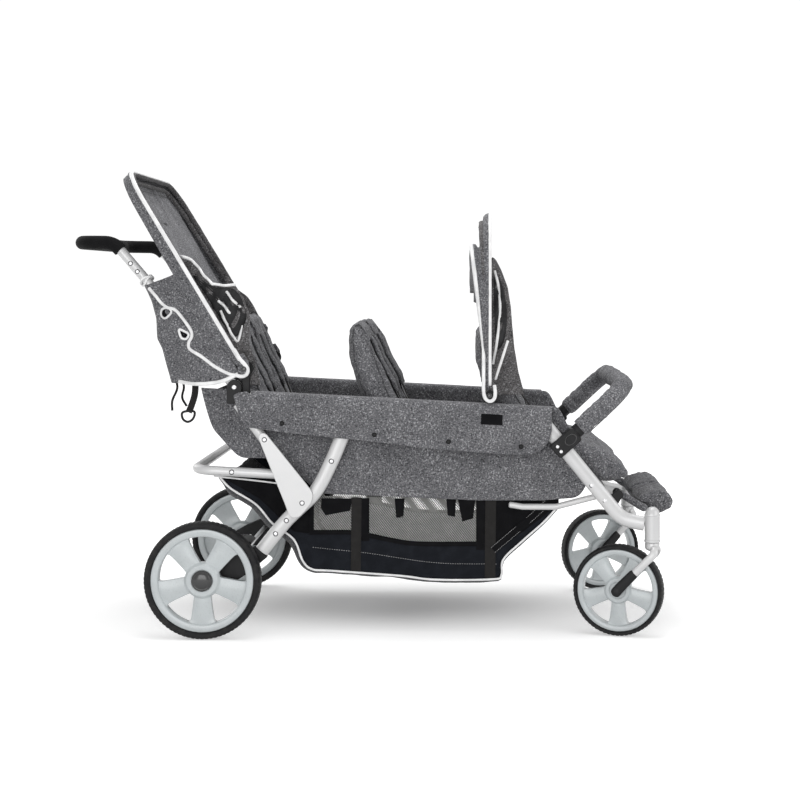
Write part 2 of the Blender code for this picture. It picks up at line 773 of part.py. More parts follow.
def spoked_rim(radius, bore, hub, spoke_at_hub, spoke_at_ring):
    """A wheel centre with five spokes that flare towards the ring; its axis is Y."""
    bm = bmesh.new()
    levels = rim_levels(radius, bore, hub)
    spokes = 5
    pitch = 2 * math.pi / spokes
    low_r = levels[2][0]
    high_r = levels[3][0]
    rings = []
    for r, outer, inner in levels:
        t = min(1.0, max(0.0, (r - low_r) / (high_r - low_r)))
        half = ((1 - t) * spoke_at_hub / low_r + t * spoke_at_ring / high_r) / 2
        angles = []
        for k in range(spokes):
            middle = k * pitch - math.pi / 2
            gap = pitch - 2 * half
            angles += [middle - half, middle, middle + half]
            angles += [middle + half + gap * share for share in (1 / 3, 2 / 3)]
        rings.append([
            (bm.verts.new((r * math.cos(a), -outer, r * math.sin(a))),
             bm.verts.new((r * math.cos(a), -inner, r * math.sin(a)))) for a in angles
        ])
    count = len(rings[0])

    def solid_at(level, index):
        return not (level == 2 and index % 5 >= 2)

    for level in range(len(levels) - 1):
        for i in range(count):
            j = (i + 1) % count
            a, b = rings[level][i], rings[level][j]
            c, d = rings[level + 1][j], rings[level + 1][i]
            if not solid_at(level, i):
                continue
            bm.faces.new((a[0], b[0], c[0], d[0]))
            bm.faces.new((d[1], c[1], b[1], a[1]))
            if level == 0:
                bm.faces.new((b[0], a[0], a[1], b[1]))
            if level == len(levels) - 2:
                bm.faces.new((d[0], c[0], c[1], d[1]))
            if not solid_at(level, (i - 1) % count):
                bm.faces.new((a[0], d[0], d[1], a[1]))
            if not solid_at(level, (i + 1) % count):
                bm.faces.new((c[0], b[0], b[1], c[1]))
    for i in range(count):
        j = (i + 1) % count
        if solid_at(2, i):
            continue
        a, b = rings[2][i], rings[2][j]
        bm.faces.new((a[0], b[0], b[1], a[1]))
        a, b = rings[3][i], rings[3][j]
        bm.faces.new((b[0], a[0], a[1], b[1]))
    return bm


def place(bm, matrix, sign):
    """Built for the right side, facing -Y, then mirrored for the left, turned and placed."""
    mirrored(bm, -sign)
    bmesh.ops.transform(bm, matrix=matrix, verts=bm.verts)
    return bm


def make_rear_wheel(side, sign):
    centre = Vector((rear_axle_x, sign * rear_wheel_y, rear_tyre_radius))
    matrix = Matrix.Translation(centre)
    count = 28
    tyre = turned(tyre_profile(rear_tyre_radius, rear_rim_radius, count), (0, 0, 0), up_y, count, True)
    finish("rear_tyre_" + side, place(tyre, matrix, sign), "tyre", centre)
    rim = spoked_rim(rear_rim_radius, axle_radius + pin_gap, 0.042, 0.043, 0.061)
    finish("rear_rim_" + side, place(rim, matrix, sign), "rim_plastic", centre)


# Front casters

def caster_matrix(sign):
    """From the wheel's own frame (X forwards, Y to the left, Z up) to the turned caster."""
    turn = Matrix.Rotation(sign * caster_yaw, 4, "Z")
    return Matrix.Translation(Vector((caster_x, sign * caster_y, 0))) @ turn


def make_front_wheel(side, sign):
    matrix = caster_matrix(sign)
    local = Vector((-caster_trail, 0, front_tyre_radius))
    centre = matrix @ local
    matrix = matrix @ Matrix.Translation(local)
    count = 24
    tyre = turned(tyre_profile(front_tyre_radius, front_rim_radius, count), (0, 0, 0), up_y, count, True)
    finish("front_tyre_" + side, place(tyre, matrix, sign), "tyre", centre)
    rim = spoked_rim(front_rim_radius, front_axle_radius + pin_gap, 0.032, 0.033, 0.048)
    finish("front_rim_" + side, place(rim, matrix, sign), "rim_plastic", centre)


def make_caster_housing(side, sign):
    centre = (caster_x, sign * caster_y, 0)
    profile = [(housing_radius + 0.0015, housing_bottom),
               (housing_radius + 0.0015, housing_bottom + 0.004),
               (housing_radius, housing_bottom + 0.005), (housing_radius, housing_top),
               (0.0165, housing_top + 0.009), (0.0090, housing_top + 0.0155),
               (0.0020, housing_top + 0.0178)]
    housing = finish("caster_housing_" + side, turned(profile, centre, (0, 0, 1), 16), "frame_paint")
    cut(housing, rod(centre, stem_radius + pin_gap, 0.2, housing_top - 0.012, (0, 0, 1), 12))


def make_caster_fork(side, sign):
    matrix = caster_matrix(sign)
    pivot = (caster_x, sign * caster_y, housing_bottom)
    top = housing_bottom - seat_gap
    crown = [(0.010, 0.2220), (0.019, 0.2270), (0.019, top), (stem_radius, top),
             (stem_radius, housing_top - 0.014)]
    fork = finish("caster_fork_" + side, turned(crown, (caster_x, sign * caster_y, 0), (0, 0, 1), 16),
                  "frame_paint", pivot)
    reach = 0.0302
    for hand in (1, -1):
        points = [(0.000, 0.004, 0.2335), (0.006, 0.020, 0.2325), (0.010, reach, 0.2210),
                  (0.004, reach, 0.2100), (-0.040, reach, 0.1640),
                  (-0.062, reach, 0.1420), (-caster_trail, reach, front_tyre_radius),
                  (-caster_trail - 0.010, reach, front_tyre_radius - 0.0105)]
        path = [Vector((x, hand * y, z)) for x, y, z in points]
        sizes = [(0.018, 0.018), (0.018, 0.020), (0.010, 0.021), (0.010, 0.021), (0.010, 0.022),
                 (0.0098, 0.027), (0.0098, 0.028), (0.0098, 0.014)]
        arm = sweep(path[::-1], circle(0.5, 8), up_y, sizes[::-1])
        bmesh.ops.transform(arm, matrix=matrix, verts=arm.verts)
        fuse(fork, arm)
    axle = rod((-caster_trail, 0, front_tyre_radius), front_axle_radius, -reach, reach, up_y, 12)
    bmesh.ops.transform(axle, matrix=matrix, verts=axle.verts)
    fuse(fork, axle)


# Bumper bar

def bumper_point(along, up=0.0):
    """A side-view point from the bar's foot, along its arm and square to it."""
    x = bumper_foot[0] + along * math.cos(bumper_angle) - up * math.sin(bumper_angle)
    z = bumper_foot[1] + along * math.sin(bumper_angle) + up * math.cos(bumper_angle)
    return (x, z)


def bumper_path(start):
    corner = bumper_point(bumper_arm_length)
    left = [side_point(bumper_point(start), frame_y + 0.001), side_point(corner, frame_y + 0.001)]
    right = [Vector((p.x, -p.y, p.z)) for p in reversed(left)]
    return rounded_path(left + right, [0.072, 0.072], 5)


def make_bumper():
    finish("bumper_tube", sweep(bumper_path(0.0), circle(bumper_tube_radius, 10)), "frame_paint",
           side_point(bumper_foot, 0))
    pad = sweep(bumper_path(0.034), circle(bumper_pad_radius, 10),
                bore=circle(bumper_tube_radius + seat_gap, 10))
    finish("bumper_pad", pad, "fabric", side_point(bumper_foot, 0))


def socket_outline():
    """A rounded block set square to the bumper arm."""
    along = Vector((math.cos(math.radians(41)), math.sin(math.radians(41))))
    across = Vector((-along.y, along.x))
    middle = Vector(socket_centre)
    points = []
    corner = 0.008
    for a, b, start in ((1, 1, 0), (-1, 1, 90), (-1, -1, 180), (1, -1, 270)):
        cx = middle + along * a * (socket_length / 2 - corner) + across * b * (socket_width / 2 - corner)
        for i in range(4):
            angle = math.radians(start + 30 * i)
            points.append(tuple(cx + along * corner * math.cos(angle) + across * corner * math.sin(angle)))
    return points


button_centre = (0.507, 0.508)
socket_y = (0.3075, 0.3480)
button_travel = 0.0030


def button_shape(width, height, low, high):
    """An oval key whose long side lies along the bumper arm."""
    turn = math.radians(41)
    outline = []
    for i in range(16):
        a = 2 * math.pi * i / 16
        u = width / 2 * math.cos(a)
        v = height / 2 * math.sin(a)
        outline.append((button_centre[0] + u * math.cos(turn) - v * math.sin(turn),
                        button_centre[1] + u * math.sin(turn) + v * math.cos(turn)))
    return plate(outline, low, high)


def make_bumper_socket(side, sign):
    socket = finish("bumper_socket_" + side, mirrored(plate(socket_outline(), *socket_y), sign),
                    "black_plastic")
    cut(socket, mirrored(front_leg_shape(seat_gap), sign))
    bore_path = [side_point(bumper_point(-0.001), frame_y + 0.001),
                 side_point(bumper_point(0.060), frame_y + 0.001)]
    cut(socket, mirrored(sweep(bore_path, circle(bumper_tube_radius + 0.0004, 16)), sign))
    recess = button_shape(0.0316, 0.0236, socket_y[1] - 0.0105, socket_y[1] + 0.010)
    cut(socket, mirrored(recess, sign))
    low = socket_y[1] - 0.0105 + button_travel + 0.0004
    button = button_shape(0.0308, 0.0228, low, socket_y[1] + 0.0015)
    pivot = side_point(button_centre, sign * socket_y[1])
    finish("release_button_" + side, mirrored(button, sign), "black_plastic", pivot)


# Footrest

def make_footrest():
    pivot = side_point(footrest_pivot, 0)
    radius = 0.0070
    half_y = frame_y - leg_depth / 2 - 0.0003
    inner = 0.235
    x, z = footrest_pivot
    path = [(x, half_y, z), (x, inner + 0.010, z), (x + 0.075, inner + 0.010, z - 0.046),
            (x + 0.075, -inner - 0.010, z - 0.046), (x, -inner - 0.010, z), (x, -half_y, z)]
    tube = sweep(rounded_path(path, [0.020] * 4, 3), circle(radius, 8), (0, 0, 1))
    frame = finish("footrest_frame", tube, "frame_paint", pivot)
    for hand, sign in sides:
        outline = [(0.690, 0.338), (0.700, 0.352), (0.728, 0.361), (0.755, 0.366), (0.775, 0.357),
                   (front_end_x - 0.001, 0.338), (front_end_x, 0.326), (0.782, 0.311),
                   (0.760, 0.298), (0.742, 0.294), (0.7285, 0.304)]
        outline += arc((x + 0.075, z - 0.046), radius + 0.0008, 0, 150, 5) + [(0.6950, 0.3260)]
        stations = []
        for share, long, high in ((-1, 0.98, 0.62), (-0.93, 1.0, 0.85), (-0.45, 1.0, 1.0),
                                  (0.0, 1.0, 0.95), (0.45, 1.0, 1.0), (0.93, 1.0, 0.85),
                                  (1, 0.98, 0.62)):
            stations.append((sign * 0.118 + share * 0.107, long, high))
        pad = puffed(outline, stations, (0.740, 0.331))
        finish("foot_pad_" + hand, pad, "fabric", pivot)
    return frame


# Canopies

def canopy_point(pivot, angle, reach, lift, y):
    """A point in a bow's plane: along the bow, square to it towards the front, and across."""
    x = pivot[0] + reach * math.cos(angle) + lift * math.sin(angle)
    z = pivot[1] + reach * math.sin(angle) - lift * math.cos(angle)
    return Vector((x, y, z))


def make_bow(name, pivot, angle, length, y, hole=True):
    """A flat bar bent into a U, with an eye at each end."""
    corners = [canopy_point(pivot, angle, reach, 0, side_y)
               for reach, side_y in ((-0.009, y), (length, y), (length, -y), (-0.009, -y))]
    path = rounded_path(corners, [bow_corner, bow_corner], 4)
    path.insert(1, canopy_point(pivot, angle, 0.012, 0, y))
    path.insert(2, canopy_point(pivot, angle, 0.030, 0, y))
    path.insert(-1, canopy_point(pivot, angle, 0.030, 0, -y))
    path.insert(-1, canopy_point(pivot, angle, 0.012, 0, -y))
    wide = [(1, 1.9), (1, 1.9)] + [(1, 1)] * (len(path) - 4) + [(1, 1.9), (1, 1.9)]
    bow = finish(name, sweep(path, strip(bow_width, bow_thickness), up_y, wide), "black_plastic",
                 side_point(pivot, 0))
    if hole:
        cut(bow, rod(side_point(pivot, 0), canopy_pin_radius + pin_gap, -0.4, 0.4, up_y, 12))
    return bow


def canopy_cloth(name, pivot, angle, side_y, top, corner, low, front, back):
    """The folded hood: a gathered panel inside the bows, with its two side folds."""
    inner_y = 0.3010
    start = 0.034
    steps = 4
    half = [(side_y, start), (side_y, top - corner)]
    for i in range(1, steps + 1):
        a = math.pi / 2 * i / steps
        half.append((side_y - corner + corner * math.cos(a), top - corner + corner * math.sin(a)))
    inner = [(inner_y - 0.020, low), (inner_y, low - 0.020), (inner_y, start)]
    outline = half + [(-y, r) for y, r in reversed(half)]
    outline += [(-y, r) for y, r in reversed(inner)] + inner
    middle_r = (top + low) / 2
    bm = bmesh.new()
    rings = []
    for lift, inset in ((front, 0.006), (front * 0.2, 0.0), (back * 0.5, 0.0), (back, 0.007)):
        ring = []
        for y, r in outline:
            shift = inset if r > low else inset * 0.5
            edge = inset * (1 if y > 0 else -1) if abs(y) > 0.315 or r > top - 0.01 else 0
            bulge = 1.0 if r > low else 0.35 + 0.65 * max(0.0, (r - start) / (low - start))
            reach = r - (shift if r > top - 0.08 else 0)
            ring.append(bm.verts.new(canopy_point(pivot, angle, reach, lift * bulge, y - edge)))
        rings.append(ring)
    for first, second in zip(rings, rings[1:]):
        skin(bm, first, second)
    bm.faces.new(rings[0])
    bm.faces.new(reversed(rings[-1]))
    finish(name, bm, "fabric")


def make_canopies():
    make_bow("rear_canopy_main_bow", rear_canopy_pivot, rear_main_angle, rear_main_length, main_bow_y)
    make_bow("rear_canopy_mid_bow", rear_canopy_pivot, rear_mid_angle, rear_mid_length, mid_bow_y)
    make_bow("front_canopy_main_bow", front_canopy_pivot, front_main_angle, front_main_length,
             main_bow_y)
    make_bow("front_canopy_mid_bow", front_canopy_pivot, front_mid_angle, front_mid_length, mid_bow_y)
    fixed_y = post_y[1] - bow_thickness / 2
    fixed = make_bow("front_canopy_fixed_bow", front_canopy_pivot, front_fixed_angle,
                     front_fixed_length, fixed_y, False)
    x, z = front_canopy_pivot
    low_front = flap_top(x - 0.016) + seat_gap
    lug = [(x - 0.016, low_front), (x + 0.016, low_front)] + arc((x, z), 0.0115, 0, 180, 8)
    for side, sign in sides:
        fuse(fixed, mirrored(plate(lug, post_y[0], post_y[1] - 0.0003), sign))
        fuse(fixed, pivot_stack(front_canopy_pivot, sign, post_y[1] - 0.006))
    inside = bow_thickness / 2 + seat_gap
    canopy_cloth("rear_canopy_cloth", rear_canopy_pivot, rear_mid_angle, mid_bow_y - inside,
                 rear_mid_length - inside, bow_corner - inside, 0.205, 0.020, -0.018)
    canopy_cloth("front_canopy_cloth", front_canopy_pivot, front_mid_angle, fixed_y - inside,
                 front_mid_length - 0.007, bow_corner - inside, 0.232, 0.016, -0.012)


def make_back_cover():
    """The padded bag that hangs between the handle's arms behind the rear canopy."""
    behind_arm = [(0.0137, 0.905), (0.0029, 0.893), (0.0056, 0.858), (-0.0114, 0.838), (-0.0098, 0.789),
                  (0.0174, 0.757), (0.0174, 0.724), (0.0083, 0.697), (0.0181, 0.676), (0.0343, 0.664),
                  (0.0785, 0.652), (0.1635, 0.652), (0.1280, 0.728), (0.0978, 0.773), (0.0399, 0.860)]
    outline = [(handle_arm_x(z) - behind, z) for behind, z in behind_arm]
    stations = [(-0.2865, 0.94, 0.96), (-0.2780, 0.98, 0.985), (-0.2450, 1.0, 1.0), (-0.1200, 1.02, 1.0),
                (0.0, 1.03, 1.0), (0.1200, 1.02, 1.0), (0.2450, 1.0, 1.0), (0.2780, 0.98, 0.985),
                (0.2865, 0.94, 0.96)]
    middle = (handle_arm_x(0.760) - 0.0408, 0.760)
    finish("back_cover", puffed(outline, stations, middle), "fabric")


for side_name, side_sign in sides:
    make_side_rail(side_name, side_sign)
    make_rear_leg(side_name, side_sign)
    make_front_leg(side_name, side_sign)
    make_handle_strut(side_name, side_sign)
    make_fold_hinge(side_name, side_sign)
    make_side_flap(side_name, side_sign)
    make_rear_foot(side_name, side_sign)
    make_rear_wheel(side_name, side_sign)
    make_front_wheel(side_name, side_sign)
    make_caster_housing(side_name, side_sign)
    make_caster_fork(side_name, side_sign)
    make_bumper_socket(side_name, side_sign)
    for row_name in row_offsets:
        make_seat_back(row_name, side_name, side_sign)
for row_name in row_offsets:
    make_cushion(row_name)
make_handle()
make_tub()
make_basket()
make_basket_frames()
make_rear_axle()
make_brake_pedal()
make_bumper()
make_footrest()
make_canopies()
make_back_cover()
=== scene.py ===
import json
from math import atan2, cos, exp, hypot, pi, radians, sin, sqrt, tan

import bmesh
import bpy
from mathutils import Matrix, Vector, noise
from mathutils.bvhtree import BVHTree


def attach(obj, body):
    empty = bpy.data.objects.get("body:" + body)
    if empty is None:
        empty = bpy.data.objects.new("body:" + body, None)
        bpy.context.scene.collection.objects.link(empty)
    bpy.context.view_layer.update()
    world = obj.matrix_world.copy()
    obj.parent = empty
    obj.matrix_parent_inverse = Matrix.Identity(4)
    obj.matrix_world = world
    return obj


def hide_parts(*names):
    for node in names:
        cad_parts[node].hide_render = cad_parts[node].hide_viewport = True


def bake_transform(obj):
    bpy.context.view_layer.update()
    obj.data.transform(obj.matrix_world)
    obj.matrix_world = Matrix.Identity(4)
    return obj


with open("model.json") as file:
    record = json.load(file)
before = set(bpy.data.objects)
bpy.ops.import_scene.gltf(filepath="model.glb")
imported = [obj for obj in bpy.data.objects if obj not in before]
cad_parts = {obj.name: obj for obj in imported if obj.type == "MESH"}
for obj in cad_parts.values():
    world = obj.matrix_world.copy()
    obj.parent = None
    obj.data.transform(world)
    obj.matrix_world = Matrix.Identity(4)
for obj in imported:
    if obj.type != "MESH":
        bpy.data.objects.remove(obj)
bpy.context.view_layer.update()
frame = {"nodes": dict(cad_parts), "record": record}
sides = (("left", 1), ("right", -1))


# Camera, light and floor

shot = {"lens": 73.35, "place": (0.261, -4.532, 0.918), "shift": (-0.09375, -0.15)}


def linked(name, data):
    obj = bpy.data.objects.new(name, data)
    bpy.context.scene.collection.objects.link(obj)
    return obj


def makeCamera():
    camera = bpy.data.cameras.new("camera")
    camera.lens = shot["lens"]
    camera.shift_x, camera.shift_y = shot["shift"]
    obj = linked("camera", camera)
    obj.location = shot["place"]
    obj.rotation_euler = (radians(90), 0, 0)
    bpy.context.scene.camera = obj
    bpy.context.scene.view_settings.view_transform = "Standard"


def addNode(tree, kind, settings=None, inputs=None, output=0):
    # one way in for every node: its settings first, then its sockets
    node = tree.nodes.new(kind)
    for key, value in (settings or {}).items():
        if key == "stops":
            ramp = node.color_ramp
            while len(ramp.elements) < len(value):
                ramp.elements.new(0.5)
            for element, (place, colour) in zip(ramp.elements, value):
                element.position = place
                element.color = (*colour, 1)
        else:
            setattr(node, key, value)
    for key, value in (inputs or {}).items():
        if isinstance(value, Shade):
            tree.links.new(value.socket, node.inputs[key])
        else:
            node.inputs[key].default_value = value
    return Shade(tree, node.outputs[output])


class Shade:
    # a shader socket that can be used in sums
    def __init__(self, tree, socket):
        self.tree = tree
        self.socket = socket

    def math(self, operation, *others, flip=False):
        values = (self,) + others
        if flip:
            values = values[::-1]
        return addNode(self.tree, "ShaderNodeMath", {"operation": operation}, dict(enumerate(values)))

    def __add__(self, other):
        return self.math("ADD", other)

    def __sub__(self, other):
        return self.math("SUBTRACT", other)

    def __rsub__(self, other):
        return self.math("SUBTRACT", other, flip=True)

    def __mul__(self, other):
        return self.math("MULTIPLY", other)

    __radd__ = __add__
    __rmul__ = __mul__

    def __gt__(self, other):
        return self.math("GREATER_THAN", other)

    def __lt__(self, other):
        return self.math("LESS_THAN", other)

    def wave(self):
        return self.math("SINE")

    def lowerOf(self, other):
        return self.math("MINIMUM", other)

    def higherOf(self, other):
        return self.math("MAXIMUM", other)

    def between(self, low, high):
        ranges = {1: low, 2: high}
        return addNode(self.tree, "ShaderNodeMapRange", {"interpolation_type": "SMOOTHSTEP"},
            {0: self, **ranges})


class Finish:
    # one material: a Principled shader and the ways to feed it
    def __init__(self, name, colour, roughness, metallic=0.0, **fixed):
        self.material = bpy.data.materials.new(name)
        self.material.use_nodes = True
        self.tree = self.material.node_tree
        self.shader = self.tree.nodes["Principled BSDF"]
        self.shader.inputs["Base Color"].default_value = (*colour, 1)
        self.shader.inputs["Roughness"].default_value = roughness
        self.shader.inputs["Metallic"].default_value = metallic
        for key, value in fixed.items():
            self.shader.inputs[key.replace("_", " ")].default_value = value
        self.place = addNode(self.tree, "ShaderNodeTexCoord", output=3)

    def node(self, kind, settings=None, inputs=None, output=0):
        return addNode(self.tree, kind, settings, inputs, output)

    def axis(self, index):
        return self.node("ShaderNodeSeparateXYZ", None, {0: self.place}, index)

    def stretched(self, sizes):
        return self.node("ShaderNodeVectorMath", {"operation": "MULTIPLY"}, {0: self.place, 1: sizes})

    def grain(self, scale, detail=2.0, roughness=0.5, place=None):
        return self.node("ShaderNodeTexNoise", None, {"Vector": place or self.place, "Scale": scale,
            "Detail": detail, "Roughness": roughness})

    def mixed(self, factor, first, second, blend="MIX"):
        first = (*first, 1) if isinstance(first, tuple) else first
        second = (*second, 1) if isinstance(second, tuple) else second
        return self.node("ShaderNodeMix", {"data_type": "RGBA", "blend_type": blend},
            {0: factor, 6: first, 7: second}, 2)

    def ramp(self, value, stops):
        return self.node("ShaderNodeValToRGB", {"stops": stops}, {0: value})

    def feed(self, name, value):
        self.tree.links.new(value.socket, self.shader.inputs[name])

    def bump(self, height, strength, distance):
        inputs = {"Height": height, "Strength": strength, "Distance": distance}
        self.feed("Normal", self.node("ShaderNodeBump", None, inputs))


def seenDirectly(tree):
    # 1 where the camera, a reflection or glass looks at it
    rays = [addNode(tree, "ShaderNodeLightPath", output="Is %s Ray" % kind) for kind in ("Camera", "Glossy",
        "Transmission")]
    return rays[0].higherOf(rays[1]).higherOf(rays[2])


def makeWorld():
    world = bpy.data.worlds.new("studio")
    world.use_nodes = True
    bpy.context.scene.world = world
    tree = world.node_tree
    shader = tree.nodes["Background"]
    seen = seenDirectly(tree)
    strength = seen * 0.5 + 0.55
    tree.links.new(strength.socket, shader.inputs["Strength"])
    shader.inputs["Color"].default_value = (1, 1, 1, 1)


lamps = {"keyLamp": {"place": (-0.9, -4.9, 0.95), "size": 3.0, "power": 86}, "topLamp": {"place": (0.1, 0.1,
    4.0), "size": 2.6, "power": 78}, "frontLamp": {"place": (3.8, -2.2, 1.7), "size": 2.4, "power": 36},
    "backLamp": {"place": (-3.4, 2.4, 2.4), "size": 2.2, "power": 26}}


def makeLamps():
    for name, lamp in lamps.items():
        light = bpy.data.lights.new(name, "AREA")
        light.size = lamp["size"]
        light.energy = lamp["power"]
        obj = linked(name, light)
        obj.location = lamp["place"]
        aim = Vector((0.0, 0.0, 0.5)) - obj.location
        obj.rotation_euler = aim.to_track_quat("-Z", "Y").to_euler()


def makeFloor():
    bm = bmesh.new()
    bmesh.ops.create_grid(bm, x_segments=1, y_segments=1, size=30)
    mesh = bpy.data.meshes.new("floor")
    bm.to_mesh(mesh)
    bm.free()
    obj = linked("floor", mesh)
    material = bpy.data.materials.new("paleFloor")
    material.use_nodes = True
    tree = material.node_tree
    tree.nodes.remove(tree.nodes["Principled BSDF"])
    lit = addNode(tree, "ShaderNodeBsdfDiffuse", None, {"Color": (0.8, 0.8, 0.8, 1)})
    # a painted glow, seen only by the camera and in reflections, that grows away from the stroller, where the
    # lamps no longer reach; it is weakest under the stroller, which paints shadow there on top of the lamps'
    # own
    place = addNode(tree, "ShaderNodeTexCoord", output=3)
    flat = addNode(tree, "ShaderNodeVectorMath", {"operation": "MULTIPLY_ADD"},
        {0: place, 1: (0.9, 2.0, 0.0), 2: (0.0, -0.16, 0.0)})
    away = addNode(tree, "ShaderNodeVectorMath", {"operation": "LENGTH"}, {0: flat}, "Value")
    paintedGlow = away.between(0.12, 0.75) * 0.28 + away.between(0.9, 2.4) * 0.3 + 0.16
    paintedGlowShader = addNode(tree, "ShaderNodeEmission", None, {"Strength": seenDirectly(tree) * paintedGlow})
    both = addNode(tree, "ShaderNodeAddShader", None, {0: lit, 1: paintedGlowShader})
    tree.links.new(both.socket, tree.nodes["Material Output"].inputs["Surface"])
    mesh.materials.append(material)


makeCamera()
makeWorld()
makeLamps()
makeFloor()
print("camera, lamps and floor are in place")


# Materials

def heatherCloth(name, tone=1.0, warm=0.0):
    # melange weave: dark, mid and pale fibres in short streaks both ways
    dark = (0.034 * tone, 0.034 * tone, 0.038 * tone)
    mid = ((0.128 + warm * 0.012) * tone, 0.128 * tone, (0.136 - warm * 0.014) * tone)
    pale = (0.4 * tone, 0.4 * tone, 0.415 * tone)
    f = Finish(name, mid, 0.93, Sheen_Weight=0.12, Sheen_Roughness=0.5, Specular_IOR_Level=0.2)
    upright = f.grain(1.0, 2.0, 0.7, f.stretched((400, 400, 170)))
    level = f.grain(1.0, 2.0, 0.7, f.stretched((170, 170, 400)))
    speck = f.grain(290, 1.0)
    fibres = upright * 0.36 + level * 0.36 + speck * 0.28
    soft = f.grain(16, 3.0)
    base = f.ramp(fibres + soft * 0.1 - 0.05, ((0.39, dark), (0.475, mid), (0.53, mid), (0.61, pale)))
    f.feed("Base Color", base)
    weave = 2 * pi / 0.0013
    threads = (f.axis(0) * weave).wave() * (f.axis(2) * weave).wave()
    threads = threads + (f.axis(1) * weave).wave() * ((f.axis(2) + f.axis(0)) * weave).wave()
    f.bump(threads * 0.25 + fibres, 0.35, 0.0009)
    return f.material


def plainCloth(name, colour, period=0.0016, rough=0.9):
    # close black or grey cloth with a fine square weave
    f = Finish(name, colour, rough, Specular_IOR_Level=0.06)
    weave = 2 * pi / period
    threads = (f.axis(0) * weave).wave() * ((f.axis(2) + f.axis(1)) * weave).wave()
    worn = f.grain(35, 3.0)
    pale = tuple(c * 1.8 + 0.001 for c in colour)
    f.feed("Base Color", f.mixed((threads * 0.3 + worn).between(0.35, 0.95), colour, pale))
    f.bump(threads, 0.4, 0.0006)
    return f.material


def meshCloth(name, colour, pitch=0.0034, hole=0.62):
    # see-through net: the holes are cut by alpha in a slanted grid
    f = Finish(name, colour, 0.8, Specular_IOR_Level=0.12)
    turn = 2 * pi / pitch
    u = (f.axis(0) + f.axis(2) * 0.8) * turn
    v = (f.axis(0) - f.axis(2)) * (turn * 1.9)
    cell = u.wave()
    net = 1 - (cell > 1 - hole) * (v.wave().math("ABSOLUTE") > 0.2)
    f.feed("Alpha", net)
    f.bump(cell, 0.3, 0.0005)
    return f.material


def webbing(name, colour, along=0, pitch=0.0021):
    # strap: ribs along and across, and a little wear
    f = Finish(name, colour, 0.72, Sheen_Weight=0.05, Specular_IOR_Level=0.2)
    ribs = (f.axis(along) * (2 * pi / pitch)).wave()
    cross = (f.axis(1) * (2 * pi / pitch)).wave()
    wear = f.grain(60, 2.0)
    pale = tuple(c * 1.8 + 0.002 for c in colour)
    f.feed("Base Color", f.mixed((ribs * 0.25 + wear).between(0.4, 0.9), colour, pale))
    f.bump(ribs + cross, 0.45, 0.0005)
    return f.material


def satinPaint(name):
    # silver powder coat with fine flake, a little darker and rougher in patches
    f = Finish(name, (0.55, 0.55, 0.552), 0.36, 0.2, Coat_Weight=0.25, Coat_Roughness=0.25)
    flake = f.grain(1500, 1.0)
    cloud = f.grain(9, 3.0)
    tint = f.mixed((flake * 0.6 + cloud * 0.4).between(0.3, 0.7), (0.525, 0.525, 0.53), (0.6, 0.6, 0.6))
    f.feed("Base Color", tint)
    f.feed("Roughness", cloud * 0.16 + 0.28)
    f.bump(flake, 0.06, 0.0002)
    return f.material


def glossPlastic(name, colour, rough=0.28):
    f = Finish(name, colour, rough, Coat_Weight=0.3, Coat_Roughness=0.12)
    cloud = f.grain(22, 3.0)
    dust = f.grain(260, 2.0)
    low = tuple(c * 0.93 for c in colour)
    f.feed("Base Color", f.mixed(cloud.between(0.35, 0.65), low, colour))
    f.feed("Roughness", dust * 0.14 + (rough - 0.06))
    f.bump(cloud, 0.03, 0.0006)
    return f.material


def mattPlastic(name, colour, rough=0.5):
    # moulded black plastic with a fine spark-eroded grain
    f = Finish(name, colour, rough, Specular_IOR_Level=0.22)
    pores = f.grain(1300, 2.0)
    rub = f.grain(45, 3.0)
    pale = tuple(c * 1.9 + 0.002 for c in colour)
    f.feed("Base Color", f.mixed(rub.between(0.45, 0.8), colour, pale))
    f.feed("Roughness", pores * 0.2 + (rough - 0.1))
    f.bump(pores, 0.18, 0.0003)
    return f.material


def tyreRubber(name):
    f = Finish(name, (0.012, 0.012, 0.013), 0.62, Specular_IOR_Level=0.2)
    dust = f.grain(55, 4.0)
    pores = f.grain(900, 2.0)
    f.feed("Base Color", f.mixed(dust.between(0.42, 0.72), (0.008, 0.008, 0.009), (0.022, 0.0215, 0.021)))
    f.feed("Roughness", dust * 0.3 + 0.45)
    f.bump(pores, 0.2, 0.0004)
    return f.material


def foamGrip(name):
    f = Finish(name, (0.009, 0.009, 0.01), 0.82, Sheen_Weight=0.03, Specular_IOR_Level=0.12)
    cells = f.node("ShaderNodeTexVoronoi", None, {"Vector": f.place, "Scale": 700.0})
    hand = f.grain(24, 3.0)
    f.feed("Base Color", f.mixed(hand.between(0.4, 0.7), (0.004, 0.004, 0.0045), (0.0085, 0.0085, 0.009)))
    f.bump(cells, 0.25, 0.0005)
    return f.material


def bareSteel(name, rough=0.28):
    f = Finish(name, (0.62, 0.62, 0.63), rough, 1.0)
    brushed = f.grain(1.0, 2.0, 0.5, f.stretched((1200, 1200, 140)))
    f.feed("Roughness", brushed * 0.2 + (rough - 0.08))
    f.bump(brushed, 0.05, 0.0002)
    return f.material


def pipingCord(name):
    # white coated piping, softly ribbed along its length
    f = Finish(name, (0.8, 0.8, 0.8), 0.42, Coat_Weight=0.2, Coat_Roughness=0.3)
    cloud = f.grain(40, 3.0)
    f.feed("Base Color", f.mixed(cloud.between(0.3, 0.7), (0.72, 0.72, 0.725), (0.86, 0.86, 0.86)))
    f.bump(f.grain(320, 2.0), 0.2, 0.0006)
    return f.material


